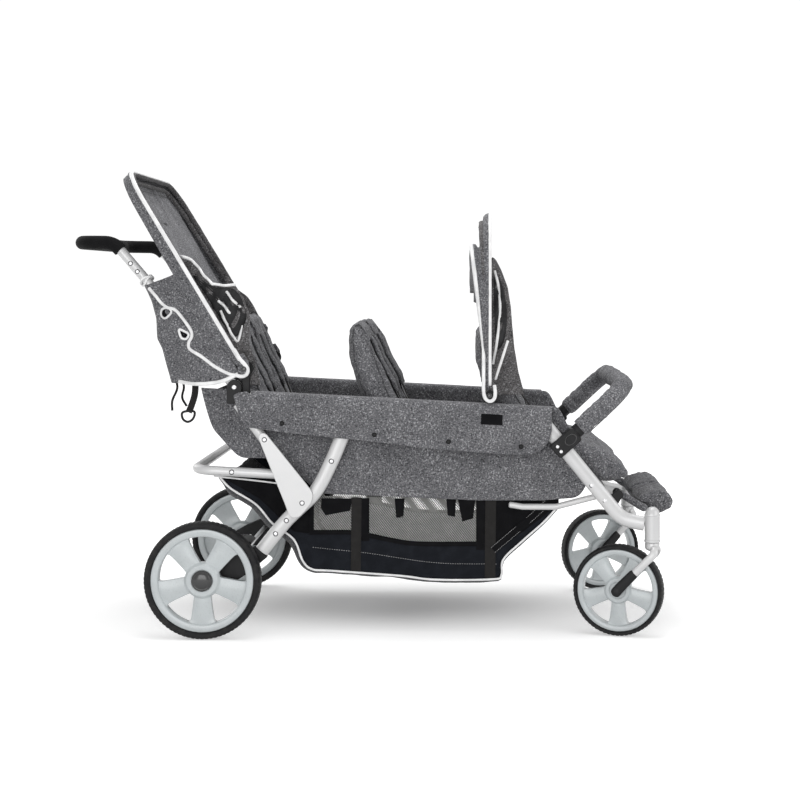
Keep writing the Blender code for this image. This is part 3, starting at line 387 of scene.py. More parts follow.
cloth = heatherCloth("heatherGrey")
clothInside = heatherCloth("heatherLining", 0.8, 0.5)
# a darker copy of the grey heather: painted shade for the welts, seams, hem and basket floor that lie in
# creases, under or between other parts
clothPaintedShade = heatherCloth("heatherPaintedShade", 0.55)
blackCloth = plainCloth("blackCloth", (0.006, 0.006, 0.0068))
netCloth = meshCloth("greyNet", (0.24, 0.24, 0.232), 0.006, 0.6)
strapWeb = webbing("blackWebbing", (0.0085, 0.0078, 0.0076))
paint = satinPaint("silverPaint")
rimPlastic = glossPlastic("rimPlastic", (0.5, 0.535, 0.545))
blackPlastic = mattPlastic("blackPlastic", (0.007, 0.007, 0.0076))
glossBlack = glossPlastic("glossBlack", (0.01, 0.01, 0.011), 0.2)
snapBlack = mattPlastic("snapBlack", (0.003, 0.003, 0.0034), 0.34)
rubber = tyreRubber("tyreRubber")
foam = foamGrip("foamGrip")
steel = bareSteel("bareSteel")
piping = pipingCord("whitePiping")
print("materials are ready")


# Shapes

def vec(x, y, z):
    return Vector((x, y, z))


def mm(*values, by=2):
    # rows of numbers, written in thousandths
    metres = [round(value / 1000, 7) for value in values]
    return list(zip(*[iter(metres)] * by))


def upright(points):
    # side-view points on the middle plane
    return [vec(x, 0, z) for x, z in points]


def clamp(t):
    return min(1.0, max(0.0, t))


def wobble(point, size, seed=0.0):
    # smooth repeatable unevenness, about -0.5 to 0.5
    return noise.noise(Vector((point[0] / size + seed, point[1] / size + seed * 1.7, point[2] / size - seed)))


def ease(t):
    t = clamp(t)
    return t * t * (3 - 2 * t)


def lerp(a, b, t):
    return a + (b - a) * t


def lerpPoint(a, b, t):
    return tuple(lerp(u, v, t) for u, v in zip(a, b))


def mirrored(points):
    return [(x, -y, z) for x, y, z in reversed(points)]


def tangentAt(path, i):
    return (path[min(i + 1, len(path) - 1)] - path[max(i - 1, 0)]).normalized()


def curveThrough(points, steps=6, closed=False):
    points = [Vector(p) for p in points]
    if closed:
        ends = [points[-1]] + points + points[:2]
    else:
        ends = [2 * points[0] - points[1]] + points + [2 * points[-1] - points[-2]]
    path = []
    for a, b, c, d in zip(ends, ends[1:], ends[2:], ends[3:]):
        for i in range(steps):
            t = i / steps
            path.append(0.5 * ((2 * b) + (c - a) * t + (2 * a - 5 * b + 4 * c - d) * t * t
                + (3 * b - a - 3 * c + d) * t ** 3))
    if not closed:
        path.append(points[-1])
    return path


def roundedPath(corners, radii, steps=10):
    points = [Vector(corners[0])]
    for before, corner, after, radius in zip(corners, corners[1:], corners[2:], radii):
        before, corner, after = Vector(before), Vector(corner), Vector(after)
        into = (before - corner).normalized()
        out = (after - corner).normalized()
        half = into.angle(out) / 2
        centre = corner + (into + out).normalized() * (radius / sin(half))
        first = corner + into * (radius / tan(half)) - centre
        last = corner + out * (radius / tan(half)) - centre
        axis = first.cross(last).normalized()
        turn = first.angle(last)
        for i in range(steps + 1):
            points.append(centre + Matrix.Rotation(turn * i / steps, 3, axis) @ first)
    points.append(Vector(corners[-1]))
    return points


def evenly(points, count):
    # the same line as count points at equal distances
    lengths = [0.0]
    for a, b in zip(points, points[1:]):
        lengths.append(lengths[-1] + (b - a).length)
    out = []
    j = 0
    for i in range(count):
        want = lengths[-1] * i / (count - 1)
        while j < len(lengths) - 2 and lengths[j + 1] < want:
            j += 1
        span = max(lengths[j + 1] - lengths[j], 1e-9)
        out.append(points[j].lerp(points[j + 1], (want - lengths[j]) / span))
    return out


def ovalSection(width, depth, count=24):
    # depth runs along the sweep's side vector
    step = 2 * pi / count
    return [(depth / 2 * cos(step * i), width / 2 * sin(step * i)) for i in range(count)]


# the corners of a bar: both signs, and where the corner's arc starts
quarters = ((1, 1, 0), (-1, 1, 90), (-1, -1, 180), (1, -1, 270))


def barSection(width, depth, corner=0.25, rounds=3):
    # a flat bar or strap with rounded corners
    a, b = depth / 2, width / 2
    c = min(a, b) * corner
    points = []
    for sa, sb, start in quarters:
        for i in range(rounds + 1):
            angle = radians(start + 90 * i / rounds)
            points.append((sa * (a - c) + c * cos(angle), sb * (b - c) + c * sin(angle)))
    return points


def skin(bm, first, second, wrap=True):
    count = len(first)
    for i in range(count if wrap else count - 1):
        j = (i + 1) % count
        bm.faces.new((first[i], first[j], second[j], second[i]))


def shell(bm, rings, closed=False):
    # skins rings of points, and closes the form with its own first ring or with a face at each end
    for first, second in zip(rings, rings[1:]):
        skin(bm, first, second)
    if closed:
        skin(bm, rings[-1], rings[0])
    else:
        bm.faces.new(rings[0])
        bm.faces.new(rings[-1][::-1])
    return bm


def sweep(points, section, side=(0, 1, 0), scales=None, round_=0.0, closed=False, sides=None):
    # section carried along a path; round_ draws both ends in like a dome
    points = [Vector(p) for p in points]
    bm = bmesh.new()
    side = Vector(side)
    rings = []
    count = len(points)
    for i, point in enumerate(points):
        before = points[i - 1] if i or closed else points[0]
        after = points[(i + 1) % count] if i < count - 1 or closed else points[-1]
        into = (point - before).normalized() if i or closed else (after - point).normalized()
        out = (after - point).normalized() if i < count - 1 or closed else into
        tangent = (into + out).normalized()
        if sides:
            side = Vector(sides[i])
        side = (side - tangent * side.dot(tangent)).normalized()
        third = side.cross(tangent)
        sa, sb = scales[i] if scales else (1, 1)
        rings.append([(point + side * a * sa + third * b * sb) for a, b in section])
    if round_ and not closed:
        for end, neighbour in ((0, 1), (-1, -2)):
            along = (points[end] - points[neighbour]).normalized()
            middle = points[end]
            extra = []
            for k in (1, 2, 3):
                angle = pi / 2 * k / 3.3
                grow = cos(angle)
                push = along * round_ * sin(angle)
                extra.append([middle + (p - middle) * grow + push for p in rings[end]])
            rings = extra[::-1] + rings if end == 0 else rings + extra
    verts = [[bm.verts.new(p) for p in ring] for ring in rings]
    return shell(bm, verts, closed)


def plate(outline, yLow, yHigh):
    bm = bmesh.new()
    low = [bm.verts.new((x, yLow, z)) for x, z in outline]
    high = [bm.verts.new((x, yHigh, z)) for x, z in outline]
    bm.faces.new(low)
    bm.faces.new(high[::-1])
    skin(bm, low, high)
    return bm


def lathe(profile, centre, axis=(0, 1, 0), count=48):
    bm = bmesh.new()
    turn = Vector((0, 0, 1)).rotation_difference(Vector(axis)).to_matrix().to_4x4()
    where = Matrix.Translation(Vector(centre)) @ turn
    rings = []
    for radius, height in profile:
        rings.append([bm.verts.new(where @ Vector((radius * cos(2 * pi * i / count),
            radius * sin(2 * pi * i / count), height))) for i in range(count)])
    return shell(bm, rings)


def arc(centre, radius, start, end, steps):
    return [(centre[0] + radius * cos(radians(lerp(start, end, i / steps))), centre[1] + radius
        * sin(radians(lerp(start, end, i / steps)))) for i in range(steps + 1)]


def sheetOf(rows, wrap=False):
    # rows of points become one skin
    bm = bmesh.new()
    verts = [[bm.verts.new(p) for p in row] for row in rows]
    for first, second in zip(verts, verts[1:]):
        skin(bm, first, second, wrap)
    return bm


def stuffed(outline, stations, anchor):
    # a side outline carried across, drawn in towards the anchor at each station (y, growX, growZ)
    bm = bmesh.new()
    rings = []
    for y, growX, growZ in stations:
        rings.append([bm.verts.new((anchor[0] + (x - anchor[0]) * growX, y, anchor[1] + (z - anchor[1])
            * growZ)) for x, z in outline])
    return shell(bm, rings)


def stations(shares, half, centre=0.0):
    # (y, growX, growZ) from one side to the other
    left = [(centre - share * half, growX, growZ) for share, growX, growZ in shares]
    return left + [(centre + share * half, growX, growZ) for share, growX, growZ in shares[::-1] if share]


def flip(bm, sign):
    if sign < 0:
        bmesh.ops.scale(bm, vec=(1, -1, 1), verts=bm.verts)
        bmesh.ops.reverse_faces(bm, faces=bm.faces)
    return bm


def join(first, *others):
    for other in others:
        mesh = bpy.data.meshes.new("joined")
        other.to_mesh(mesh)
        other.free()
        first.from_mesh(mesh)
        bpy.data.meshes.remove(mesh)
    return first


def smoothed(obj):
    step = obj.modifiers.new("smooth", "SUBSURF")
    step.levels = step.render_levels = 1


def addPiece(name, bm, material, body="chassis", node=None, bevel=0.0, smooth=42, subdivide=0, thick=0.0,
        slotName=None):
    # makes a smooth-shaded object with its material and optional thickness, bevel and subdivision, hangs it
    # on its body and hides the imported part it replaces
    bmesh.ops.recalc_face_normals(bm, faces=bm.faces)
    mesh = bpy.data.meshes.new(name)
    bm.to_mesh(mesh)
    bm.free()
    mesh.shade_smooth()
    if not subdivide and not thick:
        mesh.set_sharp_from_angle(angle=radians(smooth))
    mesh.materials.append(material)
    obj = linked(name, mesh)
    if thick:
        step = obj.modifiers.new("thickness", "SOLIDIFY")
        step.thickness = thick
        step.offset = 0.0
    if bevel:
        step = obj.modifiers.new("edges", "BEVEL")
        step.width = bevel
        step.segments = 2
        step.limit_method = "ANGLE"
        step.angle_limit = radians(34)
        step.harden_normals = False
    if subdivide:
        smoothed(obj)
    if body:
        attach(obj, body)
    if node:
        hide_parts(node)
    return obj


def addSided(name, side, bm, material, body="chassis", node=None, **look):
    # a left form, mirrored for the right side
    return addPiece("%s_%s" % (name, side), flip(bm, dict(sides)[side]), material, body,
        node and "%s_%s" % (node, side), **look)


def applied(obj):
    # bakes the modifiers into the mesh
    bpy.context.view_layer.update()
    mesh = bpy.data.meshes.new_from_object(obj.evaluated_get(bpy.context.evaluated_depsgraph_get()))
    mesh.name = obj.name
    obj.modifiers.clear()
    obj.data = mesh


def bend(obj, first, second, start, end):
    applied(obj)
    tuple(start)
    tuple(end)
    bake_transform(obj)


def addRivet(name, place, outward, body, radius=0.0052, dome=0.0022):
    # a domed head in a dark, slightly sunk ring; the ring is painted shadow round the head
    profile = [(radius, -0.0012), (radius, 0.0003), (radius * 0.94, dome * 0.45), (radius * 0.7, dome * 0.85),
        (radius * 0.3, dome)]
    bm = lathe(profile, place, outward, 20)
    # dark ring round the head: painted shadow, made in black plastic
    ring = [(radius * 1.3, -0.0012), (radius * 1.3, 0.0001), (radius * 0.98, 0.0004)]
    addPiece(name + "_seat", lathe(ring, place, outward, 20), blackPlastic, body, smooth=60, slotName="steel")
    addPiece(name, bm, steel, body, smooth=60)


def puff(obj, pressure, limit, voxel, inset, steps=18):
    # evens the mesh, shrinks it a little, and fills it by a short cloth run that is held within limit
    remesh = obj.modifiers.new("even", "REMESH")
    remesh.mode = "VOXEL"
    remesh.voxel_size = voxel
    depth = bpy.context.evaluated_depsgraph_get()
    even = bpy.data.meshes.new_from_object(obj.evaluated_get(depth))
    obj.modifiers.remove(remesh)
    obj.data = even
    even.shade_smooth()
    pressed(obj, lambda place, normal: -inset)
    start = [v.co.copy() for v in even.vertices]
    run = obj.modifiers.new("fill", "CLOTH")
    run.settings.use_pressure = True
    run.settings.uniform_pressure_force = pressure
    run.settings.effector_weights.gravity = 0
    run.settings.tension_stiffness = 25
    run.settings.compression_stiffness = 25
    run.settings.bending_stiffness = 2.0
    run.settings.quality = 4
    run.point_cache.frame_end = steps
    scene = bpy.context.scene
    for i in range(1, steps + 1):
        scene.frame_set(i)
    depth = bpy.context.evaluated_depsgraph_get()
    filled = bpy.data.meshes.new_from_object(obj.evaluated_get(depth))
    obj.modifiers.remove(run)
    for vert, before in zip(filled.vertices, start):
        move = vert.co - before
        if move.length > limit:
            vert.co = before + move.normalized() * limit
    obj.data = filled
    filled.shade_smooth()
    scene.frame_set(1)


# Chassis tubes

chassis = {"tubeY": 0.3215, "legWidth": 0.037, "legDepth": 0.022, "flapTop": 0.616, "flapSlope": -0.0525,
    "railRadius": 0.0142, "railRear": -0.3202, "railFront": 0.418}
rearLegLine = mm(-49, 586, -86, 505, -109, 451, -152, 370, -225, 298, -290, 218)
casterPlace = {"x": 0.717, "y": 0.34, "trail": 0.088, "yaw": radians(16)}


def flapTop(x):
    return chassis["flapTop"] + chassis["flapSlope"] * x


def railHeight(x):
    return flapTop(x) - 0.0044 - 0.0003 - chassis["railRadius"]


def makeChassis():
    y = chassis["tubeY"]
    leg = ovalSection(chassis["legWidth"], chassis["legDepth"], 28)
    for side, sign in sides:
        ends = (chassis["railRear"], chassis["railFront"])
        rail = sweep([(x, y, railHeight(x)) for x in ends], ovalSection(0.0284, 0.0284, 28))
        addSided("sideRail", side, rail, paint, node="side_rail", bevel=0.0008)
        path = evenly(curveThrough([(x, y, z) for x, z in rearLegLine], 6), 34)
        addSided("rearLeg", side, sweep(path, leg), paint, node="rear_leg", bevel=0.0009)
        top = (0.4205, y, 0.57)
        bend = (0.64, y + 0.003, 0.3)
        tip = (casterPlace["x"] - 0.0196, casterPlace["y"] - 0.005, 0.2905)
        path = roundedPath([top, bend, tip], [0.075], 16)
        addSided("frontLeg", side, sweep(path, leg), paint, node="front_leg", bevel=0.0009)
        lug = arc((0.632, 0.363), 0.012, -60, 140, 12) + [(0.6, 0.352), (0.62, 0.322)]
        addSided("footrestLug", side, plate(lug, y - 0.0108, y + 0.003), blackPlastic, bevel=0.0012)
        strutPath = [(-0.353, y + 0.0013, 0.5985), (-0.279, y + 0.0013, 0.5)]
        tube = sweep(strutPath, ovalSection(0.026, 0.024, 28))
        outline = mm(-297, 512, -294, 520, -288, 524.5, -280, 524, -274, 519.5, -172, 392, -160,
            375.5, -156.5, 366, -157.5, 354, -161, 343, -186, 312, -196, 306.5, -206, 305.5, -215,
            309.5, -220.5, 318, -226.2, 336)
        face = plate(outline, y + 0.0118, y + 0.0178)
        addSided("handleStrut", side, join(tube, face), paint, node="handle_strut", bevel=0.0016)
        rivets = {"strutTop": (-0.281, 0.507, 0.0178), "strutFoot": (-0.184, 0.344, 0.0178),
            "rearLegA": (-0.109, 0.451, 0.0108), "rearLegB": (-0.225, 0.298, 0.0108),
            "rearLegC": (-0.253, 0.264, 0.0108), "frontLegA": (0.562, 0.389, 0.0116),
            "frontLegB": (0.596, 0.35, 0.012)}
        for name, (x, z, out) in rivets.items():
            addRivet("rivet_%s_%s" % (name, side), (x, sign * (y + out), z), (0, sign, 0), "chassis")
    rear = [(-0.23, y - 0.001, 0.415), (-0.464, y - 0.001, 0.428)]
    rear += mirrored(rear)
    tube = sweep(roundedPath(rear, [0.05, 0.05], 12), ovalSection(0.025, 0.025, 24))
    addPiece("basketTubeRear", tube, paint, node="basket_frame_rear", bevel=0.0008)
    for side, sign in sides:
        addRivet("rivet_basketTube_" + side, (-0.366, sign * (y + 0.0112), 0.4228), (0, sign, 0), "chassis")
    inside = 0.3022
    half = [(a, inside + b, c) for a, b, c in mm(352, 0, 335, 385, 0, 329.5, 471, 0, 329.5, 602, 3.4, 364,
        by=3)]
    front = half + mirrored(half)
    tube = sweep(roundedPath(front, [0.04, 0.06, 0.02, 0.02, 0.06, 0.04], 8), ovalSection(0.016, 0.016, 20),
        round_=0.004)
    addPiece("basketTubeFront", tube, paint, node="basket_frame_front")


# Handle with its folding bracket

handle = {"hinge": (-0.359, 0.642), "armTop": (-0.601, 0.927), "bend": (-0.655, 0.991), "height": 1.016,
    "armY": 0.293, "clevisY": 0.3203, "tube": 0.025, "grip": 0.037, "rearEnd": -0.79}


def handleLine():
    top = [(handle["bend"][0] - 0.022, handle["armY"], handle["height"] - 0.001),
        (handle["rearEnd"] + handle["grip"] / 2, handle["armY"], handle["height"])]
    left = [(handle["hinge"][0], handle["clevisY"], handle["hinge"][1]), (handle["armTop"][0],
        handle["armY"] + 0.003, handle["armTop"][1])] + top
    return roundedPath(left + mirrored(left), [0.5, 0.055, 0.055, 0.055, 0.055, 0.5], 12)


def makeHandle():
    path = handleLine()
    tube = sweep(path, ovalSection(handle["tube"], handle["tube"], 24))
    for side, sign in sides:
        low, high = handle["clevisY"] - 0.0125, handle["clevisY"] + 0.0125
        place = (handle["hinge"][0], 0, handle["hinge"][1])
        tube = join(tube, flip(lathe([(0.0165, low), (0.017, low + 0.001), (0.017, high - 0.001),
            (0.0165, high)], place, (0, 1, 0), 32), sign))
    addPiece("handleTube", tube, paint, "handle", node="handle_tube")
    gripPath = evenly([p for p in path if p.x < handle["armTop"][0] - 0.035], 120)
    count = len(gripPath)
    scales = []
    for i in range(count):
        edge = min(i, count - 1 - i)
        collar = 0.1 * exp(-(edge / 1.6) ** 2)
        scales.append((0.97 + collar * 0.3, 0.97 + collar * 0.3))
    grip = sweep(gripPath, ovalSection(handle["grip"], handle["grip"], 28), scales=scales, round_=0.0022)
    addPiece("handleGrip", grip, foam, "handle", node="handle_grip", smooth=60)
    for side, sign in sides:
        for name, x, z in (("upper", -0.632, 0.961), ("lower", -0.614, 0.94)):
            addRivet("handleScrew_%s_%s" % (name, side), (x, sign * 0.3078, z), (0, sign, 0), "handle",
                0.0048, 0.002)
        x, z = handle["hinge"]
        low, high = 0.6005, 0.622
        right = chassis["railRear"] - 0.0012
        block = [(x - 0.0185, low), (right, low), (right, high), (x - 0.004, high), (x - 0.0185, 0.61)]
        cheek = [(x + 0.019, 0.5995)] + arc((x, z), 0.019, -10, 190, 20) + [(x - 0.019, 0.5995)]
        bm = plate(block, 0.3033, 0.338)
        join(bm, plate(cheek, 0.3336, 0.3385), plate(cheek, 0.3028, 0.307))
        post = [(right, 0.615), (right, 0.67)] + arc((-0.333, 0.689), 0.0105, -20, 200, 16)
        post += [(-0.34, 0.675), (-0.34, 0.615)]
        join(bm, plate(post, 0.3085, 0.3255))
        addSided("foldBracket", side, bm, blackPlastic, node="fold_hinge", bevel=0.0013)
        addRivet("foldRivet_" + side, (x, sign * 0.3385, z), (0, sign, 0), "chassis", 0.0062, 0.0026)
        knob = mm(4, 324, 4, 336.7, 6, 336.7, 6.6, 337.6, 6.6, 339.5, 6, 341, 4.5, 341.8, 2, 342.1)
        bm = flip(lathe(knob, (-0.333, 0, 0.689), (0, 1, 0), 40), sign)
        addPiece("canopyKnob_" + side, bm, glossBlack)


# Wheels

rearWheel = {"x": -0.436, "y": 0.3565, "radius": 0.15, "rim": 0.1317, "ring": 0.112, "hub": 0.042,
    "bore": 0.0073, "spokeHub": 0.043, "spokeRing": 0.061, "width": 0.044, "grooves": 78}
frontWheel = {"radius": 0.1175, "rim": 0.1055, "ring": 0.0905, "hub": 0.032, "bore": 0.0043,
    "spokeHub": 0.033, "spokeRing": 0.048, "width": 0.044, "grooves": 62}


def spokeWidth(w, r):
    # half angle of a spoke: flared to the ring and filleted at both ends
    t = (r - w["hub"]) / (w["ring"] - w["hub"])
    width = lerp(w["spokeHub"], w["spokeRing"], t)
    width += 0.009 * exp(-max(0.0, 1 - t) / 0.07) + 0.005 * exp(-max(0.0, t) / 0.06)
    return width / r / 2


def rimLevels(w):
    # radius, outer face, inner face, rise along a spoke's middle
    r, h, b = w["rim"], w["hub"], w["bore"]
    ring = w["ring"]
    span = ring - h
    return [(b, 0.015, -0.0182, 0), (h * 0.64, 0.015, -0.0182, 0), (h * 0.68, 0.0172, -0.0182, 0),
        (h * 0.94, 0.0174, -0.018, 0), (h, 0.015, -0.017, 0), (h + span * 0.06, 0.0098, -0.01, 0.002),
        (h + span * 0.16, 0.009, -0.008, 0.0035), (h + span * 0.4, 0.008, -0.007, 0.0045),
        (h + span * 0.66, 0.0076, -0.007, 0.0045), (h + span * 0.86, 0.0084, -0.008, 0.0035),
        (h + span * 0.95, 0.0098, -0.009, 0.002), (ring, 0.0112, -0.01, 0), (lerp(ring, r, 0.1),
        0.016, -0.016, 0), (lerp(ring, r, 0.3), 0.0176, -0.0175, 0), (lerp(ring, r, 0.75), 0.018, -0.0178, 0),
        (lerp(ring, r, 0.95), 0.0172, -0.0172, 0), (r, 0.015, -0.015, 0)]


def spokedRim(w):
    # facing -Y; five spokes, one straight down, with open windows between them
    levels = rimLevels(w)
    first, last = 5, 11
    across, gapSteps = 8, 8
    pitch = 2 * pi / 5
    bm = bmesh.new()
    rings = []
    for r, outer, inner, rise in levels:
        half = min(spokeWidth(w, min(max(r, w["hub"]), w["ring"])), pitch * 0.47)
        row = []
        for k in range(5):
            middle = k * pitch - pi / 2
            for i in range(across):
                s = -1 + 2 * i / across
                row.append((middle + half * s, outer + rise * (1 - s * s)))
            for i in range(gapSteps):
                row.append((middle + half + (pitch - 2 * half) * i / gapSteps, outer))
        rings.append([(bm.verts.new((r * cos(a), -o, r * sin(a))), bm.verts.new((r * cos(a), -inner,
            r * sin(a)))) for a, o in row])
    count = len(rings[0])
    whole = across + gapSteps

    def solid(level, i):
        return not (first <= level < last and i % whole >= across)

    for level in range(len(levels) - 1):
        for i in range(count):
            j = (i + 1) % count
            a, b, c, d = rings[level][i], rings[level][j], rings[level + 1][j], rings[level + 1][i]
            if solid(level, i):
                bm.faces.new((a[0], b[0], c[0], d[0]))
                bm.faces.new((d[1], c[1], b[1], a[1]))
                if level == 0:
                    bm.faces.new((b[0], a[0], a[1], b[1]))
                if level == len(levels) - 2:
                    bm.faces.new((d[0], c[0], c[1], d[1]))
                continue
            if solid(level, (i - 1) % count):
                bm.faces.new((a[0], a[1], d[1], d[0]))
            if solid(level, (i + 1) % count):
                bm.faces.new((b[0], c[0], c[1], b[1]))
            if solid(level - 1, i):
                bm.faces.new((a[0], b[0], b[1], a[1]))
            if solid(level + 1, i):
                bm.faces.new((d[0], d[1], c[1], c[0]))
    return bm


def grooved(w):
    # tyre with cross grooves round the tread; its axis is Y
    radius, half = w["radius"], w["width"] / 2
    seat = w["rim"] + 0.0002
    wall = radius - seat
    profile = [(seat, half * 0.7, 0), (seat + wall * 0.08, half * 0.84, 0), (seat + wall * 0.3, half * 0.965,
        0), (seat + wall * 0.52, half, 0), (seat + wall * 0.6, half * 0.985, 0),
        (seat + wall * 0.66, half, 0), (radius - 0.0045, half * 0.95, 0.5), (radius - 0.0022, half * 0.86, 1),
        (radius - 0.0006, half * 0.66, 1), (radius, half * 0.4, 0.9), (radius, half * 0.12, 0.3)]
    profile += [(r, -y, g) for r, y, g in reversed(profile)]
    grooves = w["grooves"]
    pattern = (0.0, 0.0, 0.0, 1.0)
    bm = bmesh.new()
    rings = []
    for r, y, cut in profile:
        ring = []
        for i in range(grooves * 4):
            angle = 2 * pi * i / (grooves * 4)
            deep = r - 0.0013 * cut * pattern[i % 4]
            slant = 0.35 * (abs(y) / half) * 2 * pi / grooves if abs(y) < half * 0.9 else 0
            a = angle + slant * cut
            ring.append(bm.verts.new((deep * cos(a), y, deep * sin(a))))
        rings.append(ring)
    return shell(bm, rings, True)


def casterMatrix(sign):
    turn = Matrix.Rotation(sign * casterPlace["yaw"], 4, "Z")
    return Matrix.Translation(vec(casterPlace["x"], sign * casterPlace["y"], 0)) @ turn


def placed(bm, matrix, sign):
    flip(bm, -sign)
    bmesh.ops.transform(bm, matrix=matrix, verts=bm.verts)
    return bm


def makeWheels():
    for side, sign in sides:
        rear = Matrix.Translation(vec(rearWheel["x"], sign * rearWheel["y"], rearWheel["radius"]))
        front = casterMatrix(sign) @ Matrix.Translation(vec(-casterPlace["trail"], 0, frontWheel["radius"]))
        for which, w, matrix, bevel in (("rear", rearWheel, rear, 0.0011), ("front", frontWheel, front,
                0.001)):
            body = "%s_wheel_%s" % (which, side)
            addPiece("%sTyre_%s" % (which, side), placed(grooved(w), matrix, sign), rubber, body,
                node="%s_tyre_%s" % (which, side), smooth=50)
            addPiece("%sRim_%s" % (which, side), placed(spokedRim(w), matrix, sign), rimPlastic, body,
                node="%s_rim_%s" % (which, side), bevel=bevel, smooth=40)
    half = rearWheel["y"] + 0.0158
    centre = (rearWheel["x"], 0, rearWheel["radius"])
    axle = lathe([(0.0068, -half - 0.002), (0.0068, half + 0.002)], centre, (0, 1, 0), 24)
    addPiece("rearAxle", axle, steel, node="rear_axle")
    for side, sign in sides:
        cap = [(a, half + b) for a, b in mm(26.2, 0, 26.8, 0.6, 26.6, 3, 22.5, 5.2, 21.5, 5, 20.5, 6, 15, 7.8,
            8, 8.8, 2, 9)]
        addSided("hubCap", side, lathe(cap, centre, (0, 1, 0), 48), glossBlack, smooth=30)


def makeCasters():
    for side, sign in sides:
        x, y = casterPlace["x"], sign * casterPlace["y"]
        r = 0.02
        shape = [(r + 0.0004, 0.2447), (r + 0.0014, 0.2453), (r + 0.0014, 0.249), (r, 0.25),
            (r - 0.0004, 0.2506), (r, 0.2512), (r, 0.312), (r + 0.0008, 0.3128), (r + 0.0008, 0.315),
            (r - 0.001, 0.3168), (0.0172, 0.324), (0.014, 0.329), (0.01, 0.3325), (0.005, 0.3344),
            (0.001, 0.3348)]
        addPiece("casterHousing_" + side, lathe(shape, (x, y, 0), (0, 0, 1), 48), paint,
            node="caster_housing_" + side, smooth=30)
        where = casterMatrix(sign)
        crown = mm(8, 221.5, 14, 223.5, 18.5, 227.5, 19, 230, 19, 241.8, 17.8, 243.6, 12, 244)
        fork = lathe(crown, (0, 0, 0), (0, 0, 1), 40)
        reach = 0.0302
        trail = casterPlace["trail"]
        for hand in (1, -1):
            line = [(-trail + 0.018, reach, 0.1365), (-0.062, reach, 0.145), (-0.04, reach, 0.167),
                (-0.012, reach, 0.196), (0.004, reach - 0.001, 0.212), (0.009, reach - 0.006, 0.223),
                (0.007, reach - 0.016, 0.23), (0.002, 0.006, 0.2325)]
            line = curveThrough([(a, hand * b, c) for a, b, c in line], 5)
            count = len(line)
            thin = [(lerp(0.01, 0.0165, ease((i / count - 0.62) / 0.3)), 0.02) for i in range(count)]
            join(fork, sweep(line, ovalSection(1, 1, 24), scales=thin))
        bmesh.ops.transform(fork, matrix=where, verts=fork.verts)
        addPiece("casterFork_" + side, fork, paint, "caster_" + side, node="caster_fork_" + side, smooth=50)
        sleeves = bmesh.new()
        for hand in (1, -1):
            line = [(-trail - 0.002, reach, 0.115), (-trail + 0.012, reach, 0.131), (-0.06, reach, 0.1475),
                (-0.045, reach, 0.163)]
            line = evenly([vec(a, hand * b, c) for a, b, c in line], 14)
            thin = [(0.0118, 0.027 - 0.0025 * (i / 13)) for i in range(14)]
            join(sleeves, sweep(line, ovalSection(1, 1, 28), scales=thin, round_=0.011))
            cap = [(a, reach + b) for a, b in mm(9.5, 4, 9.5, 6.2, 8, 7.2, 2, 7.6)]
            join(sleeves, flip(lathe(cap, (-trail, 0, frontWheel["radius"]), (0, 1, 0), 28), hand))
        bmesh.ops.transform(sleeves, matrix=where, verts=sleeves.verts)
        addPiece("axleSleeve_" + side, sleeves, blackPlastic, "caster_" + side, smooth=50)
        axle = lathe([(0.004, -reach), (0.004, reach)], (-trail, 0, frontWheel["radius"]), (0, 1, 0), 16)
        bmesh.ops.transform(axle, matrix=where, verts=axle.verts)
        addPiece("frontAxle_" + side, axle, steel, "caster_" + side)


def makeRearFeet():
    for side, sign in sides:
        path = evenly(curveThrough([(x, 0, z) for x, z in rearLegLine], 6), 34)
        end = path[-1]
        along = (path[-1] - path[-2]).normalized()
        across = vec(-along.z, 0, along.x)
        start = end + along * 0.0008
        wide = chassis["legWidth"] / 2 + 0.0028
        a, b = start - across * wide, start + across * wide
        outline = [(a.x, a.z), (b.x, b.z), (-0.33, 0.158), (-0.372, 0.132)]
        outline += arc((rearWheel["x"], rearWheel["radius"]), 0.026, -60, -250, 14)
        outline += [(-0.418, 0.19), (-0.365, 0.212)]
        addSided("rearFoot", side, plate(outline, 0.3063, 0.3338), blackPlastic, node="rear_foot",
            bevel=0.003)
        for k, (x, z) in enumerate(((-0.33, 0.187), (-0.372, 0.17), (-0.405, 0.16))):
            addRivet("footScrew%d_%s" % (k, side), (x, sign * 0.3061, z), (0, -sign, 0), "chassis", 0.004,
                0.0015)
    x, z = -0.361, 0.187
    rod = lathe([(0.006, -0.3172), (0.006, 0.3172)], (x, 0, z), (0, 1, 0), 20)
    addPiece("brakeRod", rod, steel, "brake")
    outline = [(x + a, z + b) for a, b in mm(6, 8, -4, 13.5, -18, 16.5, -62, 18, -67, 15.5, -68, 10.5, -60,
        6, -12, -4, 4, -8)]
    addPiece("brakePedal", plate(outline, -0.05, 0.05), blackPlastic, "brake", node="brake_pedal",
        bevel=0.002)
    for k in range(6):
        ridgeX = x - 0.022 - 0.007 * k
        height = z + 0.0166 + 0.00028 * k
        rib = sweep([(ridgeX, -0.044, height), (ridgeX, 0.044, height)], ovalSection(0.0022, 0.003, 8),
            (0, 0, 1))
        addPiece("pedalRib%d" % k, rib, rubber, "brake", slotName="black_plastic")


# Bumper bar

bumper = {"angle": radians(43), "foot": (0.5105, 0.515), "arm": 0.19, "tube": 0.022, "pad": 0.048,
    "side": 0.3225}


def bumperPoint(along):
    x, z = bumper["foot"]
    return vec(x + along * cos(bumper["angle"]), bumper["side"], z + along * sin(bumper["angle"]))


def bumperLine(start):
    left = [bumperPoint(start), bumperPoint(bumper["arm"])]
    return roundedPath(left + mirrored(left), [0.072, 0.072], 20)


